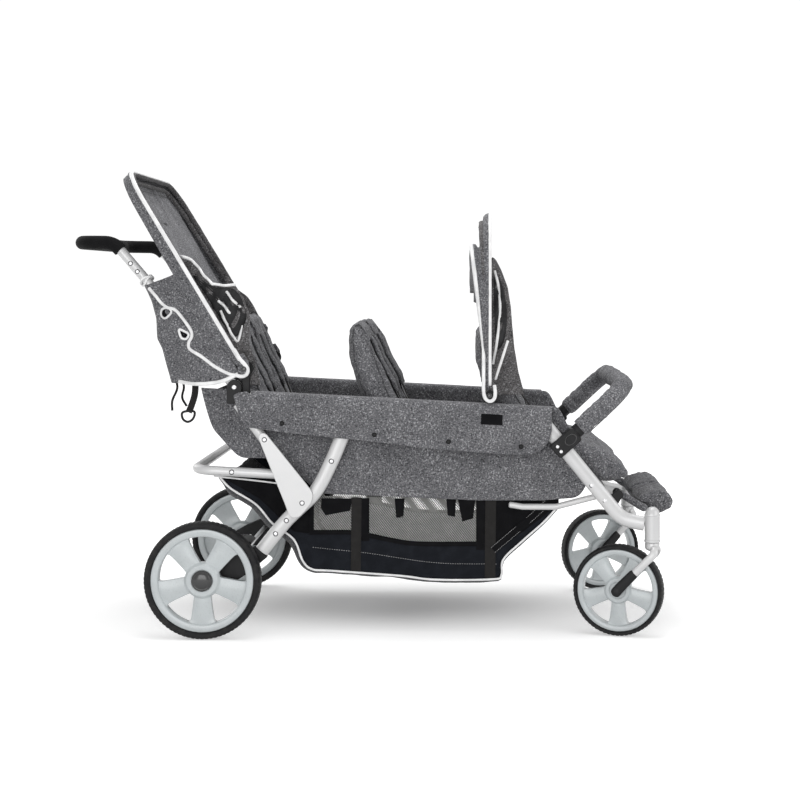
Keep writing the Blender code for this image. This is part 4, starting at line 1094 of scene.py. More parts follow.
def makeBumper():
    tube = sweep(bumperLine(0.0005), ovalSection(bumper["tube"], bumper["tube"], 24))
    addPiece("bumperTube", tube, steel, "bumper", node="bumper_tube", slotName="frame_paint")
    path = evenly(bumperLine(0.03), 300)
    section = ovalSection(1, 1, 36)
    bm = bmesh.new()
    rings = []
    count = len(path)
    for i, point in enumerate(path):
        tangent = tangentAt(path, i)
        side = vec(0, 1, 0) if i == 0 else side
        side = (side - tangent * side.dot(tangent)).normalized()
        third = side.cross(tangent)
        edge = min(i, count - 1 - i)
        ring = []
        for k, (a, b) in enumerate(section):
            angle = 2 * pi * k / len(section)
            outward = side * cos(angle) + third * sin(angle)
            radius = bumper["pad"] / 2
            radius *= 1 - 0.16 * exp(-edge / 2.2)
            gather = 0.0011 * sin(i * 0.75 + 2.0 * sin(angle)) * (0.4 + wobble(point, 0.03, 4))
            crease = 0.003 * wobble(point + outward * 0.02, 0.02, 2) + 0.0018 * wobble(point, 0.009, 8)
            ring.append(point + outward * (radius + gather + crease))
        rings.append([bm.verts.new(p) for p in ring])
    pad = addPiece("bumperPad", shell(bm, rings), cloth, "bumper", node="bumper_pad", smooth=60)
    # zip line under the cover
    down = vec(-sin(bumper["angle"]), 0, cos(bumper["angle"]))
    zipPath = [path[i] - down * (bumper["pad"] / 2 + 0.0003) for i in range(4, count - 4, 2)]
    seam = sweep(zipPath, ovalSection(0.005, 0.0022, 8), (0, 0, 1))
    addPiece("bumperPadSeam", seam, clothPaintedShade, "bumper")
    along = vec(cos(radians(41)), 0, sin(radians(41)))
    across = vec(-along.z, 0, along.x)
    middle = vec(0.495, 0, 0.499)
    for side, sign in sides:
        outline = []
        for a, b, start in quarters:
            corner = middle + along * a * (0.038 - 0.008) + across * b * (0.0215 - 0.008)
            for i in range(6):
                angle = radians(start + 18 * i)
                p = corner + along * 0.008 * cos(angle) + across * 0.008 * sin(angle)
                outline.append((p.x, p.z))
        bm = plate(outline, 0.3078, 0.3462)
        addSided("bumperSocket", side, bm, blackPlastic, node="bumper_socket", bevel=0.0028)
        collar = evenly([bumperPoint(0.012), bumperPoint(0.033)], 6)
        addSided("socketCollar", side, sweep(collar, ovalSection(0.036, 0.036, 32)), blackPlastic,
            bevel=0.002)
        oval = []
        rim = []
        for i in range(32):
            a = 2 * pi * i / 32
            for grow, points in ((1.0, oval), (1.16, rim)):
                u, v = 0.0152 * grow * cos(a), 0.0112 * grow * sin(a)
                p = vec(0.507, 0, 0.508) + along * u + across * v
                points.append((p.x, p.z))
        frameRing = plate(rim, 0.345, 0.3472)
        addSided("buttonFrame", side, frameRing, glossBlack, bevel=0.0008)
        button = flip(plate(oval, 0.342, 0.3494), sign)
        addPiece("releaseButton_" + side, button, blackPlastic, "button_" + side,
            node="release_button_" + side, bevel=0.0016)
        for k, (x, z) in enumerate(((0.4731, 0.4896), (0.4823, 0.4771))):
            addRivet("socketRivet%d_%s" % (k, side), (x, sign * 0.3462, z), (0, sign, 0), "chassis", 0.0046,
                0.0022)


makeChassis()
makeHandle()
makeWheels()
makeCasters()
makeRearFeet()
makeBumper()
print("frame, handle, wheels and bumper bar are made")

# Cloth helpers

def tableValue(points, x):
    # height of a drawn line at x
    if x <= points[0][0]:
        return points[0][1]
    for (x0, z0), (x1, z1) in zip(points, points[1:]):
        if x <= x1:
            return lerp(z0, z1, (x - x0) / max(x1 - x0, 1e-9))
    return points[-1][1]


def smoothTable(points, steps=8):
    return [(p.x, p.z) for p in curveThrough([(x, 0, z) for x, z in points], steps)]


def dent(distance, width):
    return exp(-(distance / width) ** 2)


def moved(obj, shift=(0, 0, 0), mirror=1, tilt=0.0):
    # a second pad from a finished one
    mesh = obj.data.copy()
    bm = bmesh.new()
    bm.from_mesh(mesh)
    flip(bm, mirror)
    for vert in bm.verts:
        vert.co.x += shift[0]
        vert.co.y += shift[1]
        vert.co.z += shift[2] + tilt * max(0.0, vert.co.z - 0.4955)
    bm.to_mesh(mesh)
    bm.free()
    return mesh


def pressed(obj, amount):
    # moves each point of a finished mesh along its normal by amount(place, normal)
    mesh = obj.data
    normals = [v.normal.copy() for v in mesh.vertices]
    for vert, normal in zip(mesh.vertices, normals):
        vert.co = vert.co + normal * amount(vert.co, normal)
    mesh.update()


class Surface:
    # finds points on finished pads, to lay straps and seams on them
    def __init__(self, *objs):
        bm = bmesh.new()
        for obj in objs:
            bm.from_mesh(obj.data)
        bmesh.ops.triangulate(bm, faces=bm.faces)
        self.tree = BVHTree.FromBMesh(bm)
        bm.free()

    def cast(self, start, direction, lift):
        place, normal, _, _ = self.tree.ray_cast(Vector(start), Vector(direction).normalized())
        if place is None:
            return None
        if normal.dot(Vector(direction)) > 0:
            normal = -normal
        return place + normal * lift

    def near(self, point, lift):
        place, normal, _, _ = self.tree.find_nearest(Vector(point))
        return place + normal * lift, normal


def cordOn(name, surface, points, radius, material, body, count):
    # a seam or welt that follows a pad's surface
    path = evenly([Vector(p) for p in points], count)
    laid = [surface.near(point, radius * 0.3) for point in path]
    bm = sweep([place for place, _ in laid], ovalSection(radius * 2, radius * 2, 8),
        sides=[n for _, n in laid])
    addPiece(name, bm, material, body, smooth=70)


# Side flaps over the rails

flap = {"outer": 0.3412, "inner": 0.3046, "cloth": 0.0026, "over": 0.01, "seam": 0.0066, "columns": 112,
    "rear": -0.36, "front": 0.459, "snaps": mm(-235, 549.5, 2.5, 520, 193, 502.4, 379.7, 489.6)}
flapHemLine = smoothTable(mm(-360, 618, -353, 593, -340, 556, -326, 541.5, -309, 537, -202, 523, 17, 500, 158,
    483, 354, 469, 404, 470.5, 430, 481, 446, 496, 456, 515, 459, 530))
flapTail = smoothTable([(-0.36, 0.6225), (-0.345, 0.629), (-0.318, 0.6325)])


def flapPush(x, z, hem):
    # unevenness of the hanging part: soft waves, pulls at the snaps and the doubled hem
    low = clamp((flapTop(x) - z - 0.02) / 0.06)
    push = 0.0034 * wobble((x, 0, z * 0.4), 0.075, 3) + 0.0016 * wobble((x * 1.6, 0, z), 0.028, 9)
    push += 0.001 * cos((x + 0.235) / 0.19 * 2 * pi) * -1
    for sx, sz in flap["snaps"]:
        far = hypot(x - sx, z - sz)
        push -= 0.0012 * dent(far, 0.012)
        push += 0.0007 * sin(atan2(z - sz, x - sx) * 5) * dent(far - 0.02, 0.014)
    crease = dent((x - 0.1285) + (z - 0.545) * 0.3, 0.003) * dent(z - 0.552, 0.022)
    push -= 0.0016 * crease
    band = z - hem
    push += 0.0006 * (1 if band < flap["seam"] else 0) - 0.0011 * dent(band - flap["seam"], 0.0011)
    return push * low


def flapAcross(x, z, hem):
    return min(max(flap["outer"] + flapPush(x, z, hem), 0.3397), 0.345)


def makeFlap(side, sign):
    bm = bmesh.new()
    columns = []
    marks = (0.0, 0.003, 0.0056, 0.0066, 0.0076, 0.01)
    for i in range(flap["columns"] + 1):
        x = lerp(flap["rear"], flap["front"], i / flap["columns"])
        hem = tableValue(flapHemLine, x)
        tail = x < chassis["railRear"] + 0.002
        top = tableValue(flapTail, x) if tail else flapTop(x)
        r = flap["over"]
        column = []
        if tail:
            column += [None] * 12
        else:
            section = [(flap["inner"], top - 0.03), (flap["inner"], top - 0.02)]
            section += arc((flap["inner"] + r, top - r), r, 180, 90, 4)
            section += arc((flap["outer"] - r, top - r), r, 90, 18, 4)
            for k, (y, z) in enumerate(section):
                sag = 0.0014 * wobble((x, y * 4, 0), 0.05, 6) if k > 3 else 0.0
                column.append(bm.verts.new((x, y, z - 0.0013 - abs(sag))))
        start = top - (0.0 if tail else r)
        rows = [lerp(start, hem + 0.016, k / 16) for k in range(17)]
        rows += [hem + m for m in reversed(marks)]
        for z in rows:
            z = min(z, start)
            y = flapAcross(x, z, hem)
            column.append(bm.verts.new((x, y, z)))
        columns.append(column)
    for first, second in zip(columns, columns[1:]):
        for k in range(len(first) - 1):
            corners = (first[k], second[k], second[k + 1], first[k + 1])
            if None not in corners:
                bm.faces.new(corners)
    bmesh.ops.remove_doubles(bm, verts=bm.verts, dist=0.00008)
    obj = addSided("sideFlap", side, bm, cloth, node="side_flap", subdivide=1, thick=flap["cloth"])
    "side_rail_" + side
    welt = []
    for i in range(90):
        x = lerp(chassis["railRear"] + 0.006, 0.452, i / 89)
        welt.append((x, flap["inner"] - 0.0016, flapTop(x) - 0.0105))
    for k, drop in enumerate((0.0, 0.0115)):
        line = sweep([(x, y, z - drop) for x, y, z in welt], ovalSection(0.004, 0.0026, 8))
        addPiece("flapWelt%d_%s" % (k, side), flip(line, sign), clothPaintedShade)
    for k, (x, z) in enumerate(flap["snaps"]):
        y = flap["outer"] + 0.0014
        profile = [(a, y + b) for a, b in mm(6.2, -2, 6.4, 0.2, 6, 1.3, 4.8, 2.7, 2.8, 3.7, 0.8, 4)]
        addPiece("snap%d_%s" % (k, side), flip(lathe(profile, (x, 0, z), (0, 1, 0), 28), sign), snapBlack,
            smooth=60)
    if sign < 0:
        a, b, c, d = mm(276.9, 574.2, 332, 571.6, 331.2, 544.6, 276.1, 547.2)
        rows = [[lerpPoint(lerpPoint(a, b, i / 12), lerpPoint(d, c, i / 12), j / 6) for i in range(13)]
            for j in range(7)]
        bm = sheetOf([[(x, -0.3436, z) for x, z in row] for row in rows])
        for vert in bm.verts:
            x, z = vert.co.x, vert.co.z
            hem = tableValue(flapHemLine, x)
            vert.co.y = -(flapAcross(x, z, hem) + 0.0019)
        addPiece("flapPatch", bm, blackCloth, thick=0.0012)


# Tub

tub = {"outer": 0.302, "wall": 0.011, "columns": 100, "rows": 22}
tubBottom = mm(-450, 636, -442, 600, -422, 534, -390, 498, -356, 461, -340, 455.5, -250, 454.5, -230,
    445, -156, 374, -136, 363, 45, 355, 270, 345, 439, 345, 520, 352, 536, 360, 548, 382)
tubTop = mm(474, 591, 484, 580, 538, 460, 548, 386)


def tubEdge(x):
    low = tableValue(tubBottom, x)
    high = flapTop(x) - 0.0012 if x <= 0.474 else tableValue(tubTop, x)
    return low, max(high, low + 0.003)


def tubPush(x, z, low, high):
    # quilted look: broad swells, hem seam, upright pleats and the folded layers at the rear
    inside = min(1.0, (z - low) / 0.02) * clamp((high - z) / 0.012)
    push = 0.0052 * wobble((x * 1.5, 0, z), 0.085, 5) + 0.0026 * wobble((x, 0, z * 0.6), 0.03, 11)
    push += 0.003 * sin(pi * clamp((z - low) / 0.11))
    for px, lean in mm(-205, 500, -20, 120, 100, -100, 255, 350, 372, -100, 452, 550):
        push -= 0.003 * dent((x - px) - (z - 0.4) * lean, 0.0045) * (0.5 + wobble((x, 0, z), 0.05, 2))
    push *= inside
    push -= 0.0016 * dent(z - low - 0.0165, 0.0016)
    if x < -0.22:
        for k, height in enumerate((0.496, 0.479, 0.464)):
            sway = height + 0.006 * wobble((x, 0, 0), 0.05, k) + (x + 0.3) * 0.05
            push -= 0.003 * dent(z - sway, 0.0022) * ease((-0.22 - x) / 0.04)
    if x < -0.33:
        push -= 0.0022 * dent((x + 0.352) + (z - 0.56) * 0.45, 0.003)
    return push


def makeTub():
    for side, _ in sides:
        bm = bmesh.new()
        outer, inner = [], []
        for i in range(tub["columns"] + 1):
            x = lerp(-0.45, 0.548, i / tub["columns"])
            low, high = tubEdge(x)
            a, b = [], []
            for j in range(tub["rows"] + 1):
                t = j / tub["rows"]
                z = lerp(low, high, t)
                edge = min(1.0, min((z - low), (high - z) + 0.001) / 0.006, (x + 0.45) / 0.008,
                    (0.548 - x) / 0.008)
                thick = 0.0022 + (tub["wall"] - 0.004) * sqrt(max(0.0, edge))
                y = tub["outer"] - 0.0016 + tubPush(x, z, low, high)
                y = min(y, 0.3098 if z < 0.56 else 0.303)
                a.append(bm.verts.new((x, y, z)))
                b.append(bm.verts.new((x, y - thick, z)))
            outer.append(a)
            inner.append(b)
        for grid in (outer, inner):
            for first, second in zip(grid, grid[1:]):
                skin(bm, first, second, False)
        for j in range(tub["rows"]):
            for column in (0, -1):
                bm.faces.new((outer[column][j], outer[column][j + 1], inner[column][j + 1], inner[column][j]))
        for i in range(tub["columns"]):
            for row in (0, -1):
                bm.faces.new((outer[i][row], outer[i + 1][row], inner[i + 1][row], inner[i][row]))
        obj = addSided("tubSide", side, bm, cloth, subdivide=1)
    line = mm(-440.5, 622, -412, 545, -380, 506, -345, 468.5, -163, 468.5, -142, 456, -120, 378, -105, 370, 8,
        367, 24, 376, 34, 449, 42, 452, 180, 452, 193, 448, 215, 366, 230, 358, 343, 355, 359, 364, 369, 449,
        377, 452, 520, 452)
    path = evenly(upright(line), 190)
    rows = []
    for i, point in enumerate(path):
        tangent = tangentAt(path, i)
        normal = vec(-tangent.z, 0, tangent.x)
        row = []
        for j in range(49):
            y = lerp(-0.2935, 0.2935, j / 48)
            lift = 0.003 * wobble((point.x, y, point.z), 0.06, 7) - 0.0012
            row.append(vec(point.x, y, point.z) + normal * lift)
        rows.append(row)
    floor = addPiece("tubFloor", sheetOf(rows), clothInside, node="seat_tub", subdivide=1, thick=0.004)


# Seats

seatBack = {"outline": mm(46, 497.5, 20, 531, -28, 600, -51, 650, -69, 722, -71.5, 785, -65, 806, -48,
    818.5, -36, 811, -27.5, 778, -4.5, 720, 31, 650, 55, 600, 81, 540, 85, 508, 76, 497.5), "half": 0.123,
    "centre": 0.145, "swell": 0.0075, "voxel": 0.0055}
backShares = mm(1000, 500, 860, 965, 740, 930, 900, 900, 975, 750, 980, 1000, 420, 1000, 1000, 0, 950, 995,
    by=3)
rowOffsets = {"rear": -0.335, "middle": 0.0, "front": 0.335}


def makeSeatBacks():
    half = seatBack["half"]
    bm = stuffed(seatBack["outline"], stations(backShares, half), (0.04, 0.4975))
    first = addPiece("seatBack_middle_left", bm, cloth, node="seat_back_middle_left")
    puff(first, 4.0, seatBack["swell"], seatBack["voxel"], 0.0045)

    def quilt(place, normal):
        # sewn channels on the front face and two soft folds near the top
        ahead = max(0.0, normal.x)
        push = 0.0
        for y in (-0.062, 0.062):
            push -= 0.0048 * dent(place.y - y, 0.0042) * ahead * ease((place.z - 0.53) / 0.02)
        for z in (0.64, 0.735):
            push -= 0.0044 * dent(place.z - z, 0.0042) * ahead * (1 if abs(place.y) < 0.062 else 0)
        push -= 0.003 * dent(place.z - 0.772 + 0.2 * (place.x + 0.05), 0.0035) * (1 - ahead)
        push += 0.004 * wobble(place, 0.045, 3) + 0.002 * wobble(place, 0.018, 5)
        return push

    pressed(first, quilt)
    base = first.data
    backs = {}
    for row, offset in rowOffsets.items():
        for side, sign in sides:
            tilt = -0.0155 * offset / 0.335 / 0.325
            mesh = moved(first, (offset, sign * seatBack["centre"], 0), sign, tilt)
            if (row, side) == ("middle", "left"):
                keep = mesh
                backs[row, side] = first
                continue
            obj = linked("seatBack_%s_%s" % (row, side), mesh)
            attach(obj, "chassis")
            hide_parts("seat_back_%s_%s" % (row, side))
            backs[row, side] = obj
    first.data = keep
    bpy.data.meshes.remove(base)
    for (row, side), obj in backs.items():
        smoothed(obj)
        sign = 1 if side == "left" else -1
        offset = rowOffsets[row]
        surface = Surface(obj)
        for k, share in enumerate((-0.93, 0.93)):
            points = []
            for x, z in seatBack["outline"][1:14]:
                points.append((x * 0.93 + 0.003 + offset, sign * seatBack["centre"] + share * half, z))
            cordOn("backWelt%d_%s_%s" % (k, row, side), surface, points, 0.0022, clothPaintedShade, "chassis", 70)
    return backs


cushion = {"low": 0.456, "high": 0.494, "half": 0.28, "swell": 0.005, "voxel": 0.006}
kneePad = mm(180, 497, 212, 492, 240, 480, 262, 478, 272, 468, 296, 448, 318, 431, 336, 410, 333.5, 395.5,
    320, 388, 262, 387, 223, 415, 191.5, 438.5, 189, 456)


cushionShares = mm(1000, 800, 620, 975, 930, 840, 930, 980, 960, 750, 1000, 1000, 500, 1000, 1020, 220, 1000,
    1000, 80, 985, 940, 20, 965, 800, by=3)


def makeCushions():
    low, high = cushion["low"], cushion["high"]
    plain = [(0.048, low), (0.0445, (low + high) / 2), (0.048, high - 0.005), (0.055, high - 0.0005),
        (0.118, high - 0.0005), (0.15, high + 0.0035), (0.178, high + 0.0005), (0.195, high - 0.011),
        (0.198, (low + high) / 2), (0.188, low)]
    made = {}
    for row in ("middle", "rear", "front"):
        outline = list(plain)
        if row == "rear":
            outline = [(x if x < 0.19 else x - 0.018, max(z, 0.4735)) for x, z in plain]
        if row == "front":
            outline = plain[:6] + kneePad
        offset = rowOffsets[row]
        anchor = (sum(x for x, z in outline) / len(outline), low if row != "front" else 0.456)
        bm = stuffed([(x + offset, z) for x, z in outline], stations(cushionShares, cushion["half"]),
            (anchor[0] + offset, anchor[1]))
        obj = addPiece("seatCushion_" + row, bm, cloth, node="seat_cushion_" + row)
        puff(obj, 3.5, cushion["swell"], cushion["voxel"], 0.0035)

        def quilt(place, normal, offset=offset, row=row):
            up = max(0.0, normal.z)
            x = place.x - offset
            push = -0.0042 * dent(x - 0.142, 0.004) * up
            for y in (-0.145, 0.145):
                push -= 0.0036 * dent(place.y - y, 0.0038) * up * (1 if x < 0.142 else 0)
            push -= 0.006 * dent(place.y, 0.005)
            if row == "front":
                push -= 0.006 * dent(x - 0.231, 0.005) * max(up, normal.x)
                push -= 0.005 * dent(x - 0.27 + (place.z - 0.43) * 0.3, 0.004) * max(0.0, normal.x + up)
                push -= 0.0045 * dent(x - 0.298 + (place.z - 0.42) * 0.5, 0.004) * max(0.0, -normal.z
                    + normal.x)
            push += 0.0034 * wobble(place, 0.05, 8) + 0.0018 * wobble(place, 0.02, 2)
            return push * (0.2 if normal.z < -0.7 and row != "front" else 1.0)

        pressed(obj, quilt)
        smoothed(obj)
        made[row] = obj
    return made


for sideName, sideSign in sides:
    makeFlap(sideName, sideSign)
makeTub()
backs = makeSeatBacks()
cushions = makeCushions()
print("flaps, tub and seats are made")

# Canopies

rearCanopy = {"pivot": (-0.333, 0.689), "angle": 121.1, "main": 0.598, "mid": 0.584, "midAngle": 123.0,
    "low": 0.195, "fan": (-0.011, -0.001), "panelSag": 0.01}
frontCanopy = {"pivot": (0.299, 0.621), "angle": 90.0, "main": 0.469, "mid": 0.45, "midAngle": 92.6,
    "low": 0.232, "fan": (-0.01, -0.001), "panelSag": 0.006}
bowPlace = {"corner": 0.1, "mainY": 0.3332, "midY": 0.3282, "fixedY": 0.3235, "fixed": 0.391,
    "fixedAngle": 96.9, "skinY": 0.336, "piping": 0.013, "pipingThick": 0.0094}


def hoop(length, halfY, corner, start, count):
    # evenly spaced points of a U, as (across, reach, outward across, outward reach)
    line = [vec(-halfY, start, 0), vec(-halfY, length - corner, 0)]
    line += [vec(y, r, 0) for y, r in arc((-halfY + corner, length - corner), corner, 180, 90, 10)[1:]]
    line += [vec(y, r, 0) for y, r in arc((halfY - corner, length - corner), corner, 90, 0, 10)]
    line += [vec(halfY, start, 0)]
    line = evenly(line, count)
    out = []
    for i, point in enumerate(line):
        tangent = tangentAt(line, i)
        out.append((point.x, point.y, -tangent.y, tangent.x))
    return out


def canopyAt(canopy, y, reach, lift, angle=None):
    a = radians(angle or canopy["angle"])
    x, z = canopy["pivot"]
    return vec(x + reach * cos(a) + lift * sin(a), y, z + reach * sin(a) - lift * cos(a))


def rearDepth(reach):
    return tableValue(mm(0, -8, 30, -15, 120, -24, 300, -31, 400, -29, 530, -26, 600, -24), reach)


def frontDepth(reach):
    return tableValue(mm(0, -6, 20, -8, 391, -47, 400, -47, 480, -30), reach)


def hoodSkin(canopy, depthOf, rearLength, rearY, drop=ease):
    # one sheet: front edge, outer skin back to the rear edge, then the panel across the hoop
    count = 150
    skinY = bowPlace["skinY"]
    outer = hoop(canopy["main"] + 0.0034, skinY, bowPlace["corner"] + 0.004, 0.016, count)
    rear = hoop(rearLength, rearY, bowPlace["corner"] + 0.002, 0.016, count)
    fanLow, fanHigh = canopy["fan"]
    bm = bmesh.new()
    columns = []
    for i in range(count):
        y0, r0, ny, nr = outer[i]
        y1, r1, _, _ = rear[i]
        deep = depthOf(r1)
        lifts = [lerp(fanHigh, max(fanLow, deep * 0.6), k / 12) for k in range(13)]
        last = lifts[-1]
        lifts += [lerp(last, deep, k / 7) for k in range(1, 8)]
        column = []
        for lift in lifts:
            t = ease((fanHigh - lift) / max(fanHigh - deep, 1e-6))
            y, r = lerp(y0, y1, t), lerp(r0, r1, drop(t))
            fold = 0.0012 * sin(t * 3.2 * pi + 1.5 * wobble((r, y, 0), 0.2, 3))
            fold += 0.002 * wobble((y * 0.5, r * 0.5, lift * 3), 0.06, 4)
            fold *= min(1.0, t * 5) * min(1.0, (1.02 - t) * 5)
            column.append(bm.verts.new(canopyAt(canopy, y + ny * fold, r + nr * fold, lift)))
        columns.append(column)
        if r1 > canopy["low"]:
            target = min(r1, rearLength - bowPlace["corner"] - 0.03)
            if abs(y1) < 0.05:
                target = rearLength - bowPlace["corner"] - 0.03
            row = []
            for k in range(1, 25):
                t = k / 24
                y, r = lerp(y1, 0, t), lerp(r1, target, ease(t))
                edge = min(1.0, t * 6)
                sag = canopy["panelSag"] * sin(pi / 2 * min(1.0, t * 1.4)) * 0.4
                fold = 0.006 * wobble((y, r * 0.35, 0), 0.045, 8) + 0.003 * wobble((y * 1.4, r * 0.5, 0),
                    0.018, 2)
                low = dent(r - canopy["low"], 0.05)
                fold += 0.003 * sin(y * 150 + 3 * wobble((y, r, 0), 0.1, 1)) * low
                row.append(bm.verts.new(canopyAt(canopy, y, r, deep - sag * edge + fold * edge)))
            column += row
    for first, second in zip(columns, columns[1:]):
        for k in range(min(len(first), len(second)) - 1):
            bm.faces.new((first[k], second[k], second[k + 1], first[k + 1]))
    bmesh.ops.remove_doubles(bm, verts=bm.verts, dist=0.0004)
    return bm


def bowSleeve(name, canopy, length, halfY, angle, material, body, width, thick, start=0.03, replaces=None,
        ruffle=0.0):
    # cloth tube or piping round a bow
    points = hoop(length, halfY, bowPlace["corner"], start, 150)
    path = [canopyAt(canopy, y, r, 0, angle) for y, r, _, _ in points]
    normals = [canopyAt(canopy, y + ny, r + nr, 0, angle) - canopyAt(canopy, y, r, 0, angle) for y, r, ny,
        nr in points]
    scales = [(1 + ruffle * wobble(p, 0.012, 3), 1 + ruffle * wobble(p, 0.02, 7)) for p in path]
    bm = sweep(path, ovalSection(width, thick, 14), sides=normals, scales=scales, round_=0.002)
    return addPiece(name, bm, material, body, node=replaces, smooth=70)


def pipingLine(name, points, width, thick, body, normal=(0, 1, 0), count=70, closed=False, material=None,
        ruffle=0.1):
    path = evenly(curveThrough(points, 8, closed), count)
    scales = [(1 + ruffle * wobble(p, 0.011, 3), 1 + ruffle * wobble(p, 0.017, 5)) for p in path]
    bm = sweep(path, ovalSection(width, thick, 12), side=normal, scales=scales, closed=closed,
        round_=0 if closed else 0.0015)
    return addPiece(name, bm, material or piping, body, smooth=70, slotName="fabric")


# Cloth and net of a side window, bunched between the bows and the seats: upper and lower edge (x, z)

rearFold = {"upper": mm(-510, 978, -470, 964, -418, 907, -362, 904, -338, 870, -322, 820, -327, 760, -308,
    700, -296, 645), "lower": mm(-513, 974, -493, 940, -464, 890, -433, 842, -408, 800, -381, 755, -356,
    715, -342, 680, -336, 645), "net": mm(-470, 930, -418, 901, -365, 894, -343, 864, -333, 820, -362,
    770, -396, 810, -433, 872), "lines": (mm(-508, 980, -487, 976, -466, 962, -440, 928, -418, 906),
    ((-0.418, 0.908), (-0.39, 0.904), (-0.362, 0.906)), ((-0.384, 0.888), (-0.37, 0.868), (-0.348, 0.848)),
    ((-0.404, 0.864), (-0.39, 0.85), (-0.37, 0.824)), mm(-400, 838, -382, 802, -360, 762, -352, 764, -345,
    800)), "flat": (0.11, 0.43), "area": 0.025}
frontFold = {"upper": mm(306, 978, 315, 972, 329, 945, 346, 900, 354, 850, 358, 800, 364, 740, 374, 680, 390,
    620), "lower": mm(302, 970, 302, 930, 302, 880, 301, 830, 301, 780, 300, 740, 300, 700, 300, 660, 300,
    620), "net": mm(312, 930, 326, 920, 338, 880, 344, 820, 336, 760, 318, 740, 312, 820),
    "lines": (mm(312, 942, 322, 900, 326, 840, 318, 760, 308, 700), ((0.346, 0.76), (0.33, 0.71),
    (0.314, 0.66))), "flat": (0.08, 0.37), "area": 0.0238}


def foldY(x, z):
    y = 0.3 + 0.0085 * sin((x * 0.9 - z * 0.45) * 190) * 0.6 + 0.01 * wobble((x, 0, z), 0.05, 6)
    return min(0.3125, max(0.288, y))


def foldedWindow(which, fold):
    rows = []
    upper = evenly(upright(fold["upper"]), 60)
    lower = evenly(upright(fold["lower"]), 60)
    for top, low in zip(upper, lower):
        rows.append([(p.x, foldY(p.x, p.z), p.z) for p in [low.lerp(top, j / 24) for j in range(25)]])
    for side, sign in sorted(sides, key=lambda pair: pair[1]):
        if sign > 0 and which == "rear":
            # the far one lies closer to the bow
            rows = [[lerpPoint(row[0], p, 0.34) for p in row] for row in rows]
        panel = addPiece("%sFold_%s" % (which, side), flip(sheetOf(rows), sign), clothInside, subdivide=1,
            thick=0.0016)
        if sign > 0 and which == "rear":
            continue
        for k, line in enumerate(fold["lines"]):
            path = evenly(curveThrough(upright(line), 6), 30)
            points = [(p.x, sign * (foldY(p.x, p.z) + 0.003), p.z) for p in path]
            pipingLine("%sFoldPiping%d_%s" % (which, k, side), points, 0.007, 0.0036, "chassis",
                (0, sign, 0), 36)
        outline = evenly(curveThrough(upright(fold["net"]), 6, True), 60)
        middle = sum(outline, vec(0, 0, 0)) / len(outline)
        rings = []
        for t in (0.1, 0.35, 0.6, 0.8, 1.0):
            ring = []
            for p in outline:
                q = middle.lerp(p, t)
                ring.append((q.x, foldY(q.x, q.z) + 0.0018, q.z))
            rings.append(ring)
        addPiece("%sFoldNet_%s" % (which, side), flip(sheetOf(rings, True), sign), foldNet, thick=0.0006)


foldNet = plainCloth("foldedNet", (0.03, 0.03, 0.031), 0.0034)


def makeHood(which, canopy, bm):
    hood = addPiece(which + "Hood", bm, cloth, None, node=which + "_canopy_cloth", thick=0.0022)
    bend(hood, "chassis", which + "_canopy_main", *[canopyAt(canopy, 0, 0, lift) for lift in canopy["fan"]])
    return hood


def makeRearCanopy():
    canopy = rearCanopy
    pivot = canopy["pivot"]
    bm = hoodSkin(canopy, rearDepth, canopy["main"] - 0.002, 0.3335)
    hood = makeHood("rear", canopy, bm)
    main = bowSleeve("rearHoodPiping", canopy, canopy["main"], bowPlace["mainY"], canopy["angle"], piping,
        "rear_canopy_main", bowPlace["piping"], bowPlace["pipingThick"], 0.026, "rear_canopy_main_bow", 0.06)
    bowSleeve("rearMidSleeve", canopy, canopy["mid"], bowPlace["midY"], canopy["midAngle"], clothInside,
        "rear_canopy_mid", 0.015, 0.0076, 0.03, "rear_canopy_mid_bow", 0.22)
    bowSleeve("rearHoodBinding", canopy, canopy["main"] - 0.0062, bowPlace["mainY"] - 0.0062, canopy["angle"],
        clothInside, "rear_canopy_main", 0.0146, 0.0058, 0.04, None, 0.1)
    hem = bowSleeve("rearHoodHem", canopy, canopy["main"] - 0.034, 0.318, canopy["angle"] + 2.2, clothPaintedShade,
        "chassis", 0.0022, 0.0016, 0.5)
    for side, sign in sides:
        loop = mm(-26, 50, -11, 26, 2, 11, 9, -1, 8, -11, 1, -17.5, -10, -19, -22, -15.5)
        points = [(pivot[0] + a, sign * 0.3376, pivot[1] + b) for a, b in loop]
        pipingLine("rearHoodCurl_" + side, points, 0.01, 0.006, "rear_canopy_main", (0, sign, 0), 40)
        tip = []
        for i in range(25):
            angle = pi * (0.68 + i / 24 * 1.18)
            tip.append((pivot[0] + 0.0168 * cos(angle), pivot[1] + 0.0168 * sin(angle)))
        tip.append((pivot[0] + 0.011, pivot[1] + 0.02))
        tip.append((pivot[0] - 0.002, pivot[1] + 0.04))
        tip.append((pivot[0] - 0.026, pivot[1] + 0.034))
        patch = plate(tip, 0.3352, 0.3366)
        addSided("rearHoodTip", side, patch, cloth, bevel=0.0006)
        disc = mm(18.6, 303.2, 19.2, 303.8, 19.2, 307.8, 18.6, 308.4)
        addSided("rearHub", side, lathe(disc, (pivot[0], 0, pivot[1]), (0, 1, 0), 36), blackPlastic,
            bevel=0.0008)
        addRivet("rearHubPin_" + side, (pivot[0], sign * 0.3032, pivot[1]), (0, -sign, 0), "chassis", 0.003,
            0.0012)
    foldedWindow("rear", rearFold)


def twoLeaves(t):
    # the top runs down behind the main bow and up again to the fixed one
    return tableValue([(0.0, 0.0), (0.22, 0.1), (0.42, 0.66), (0.58, 1.16), (0.72, 1.14), (0.9, 1.0),
        (1.0, 1.0)], t)


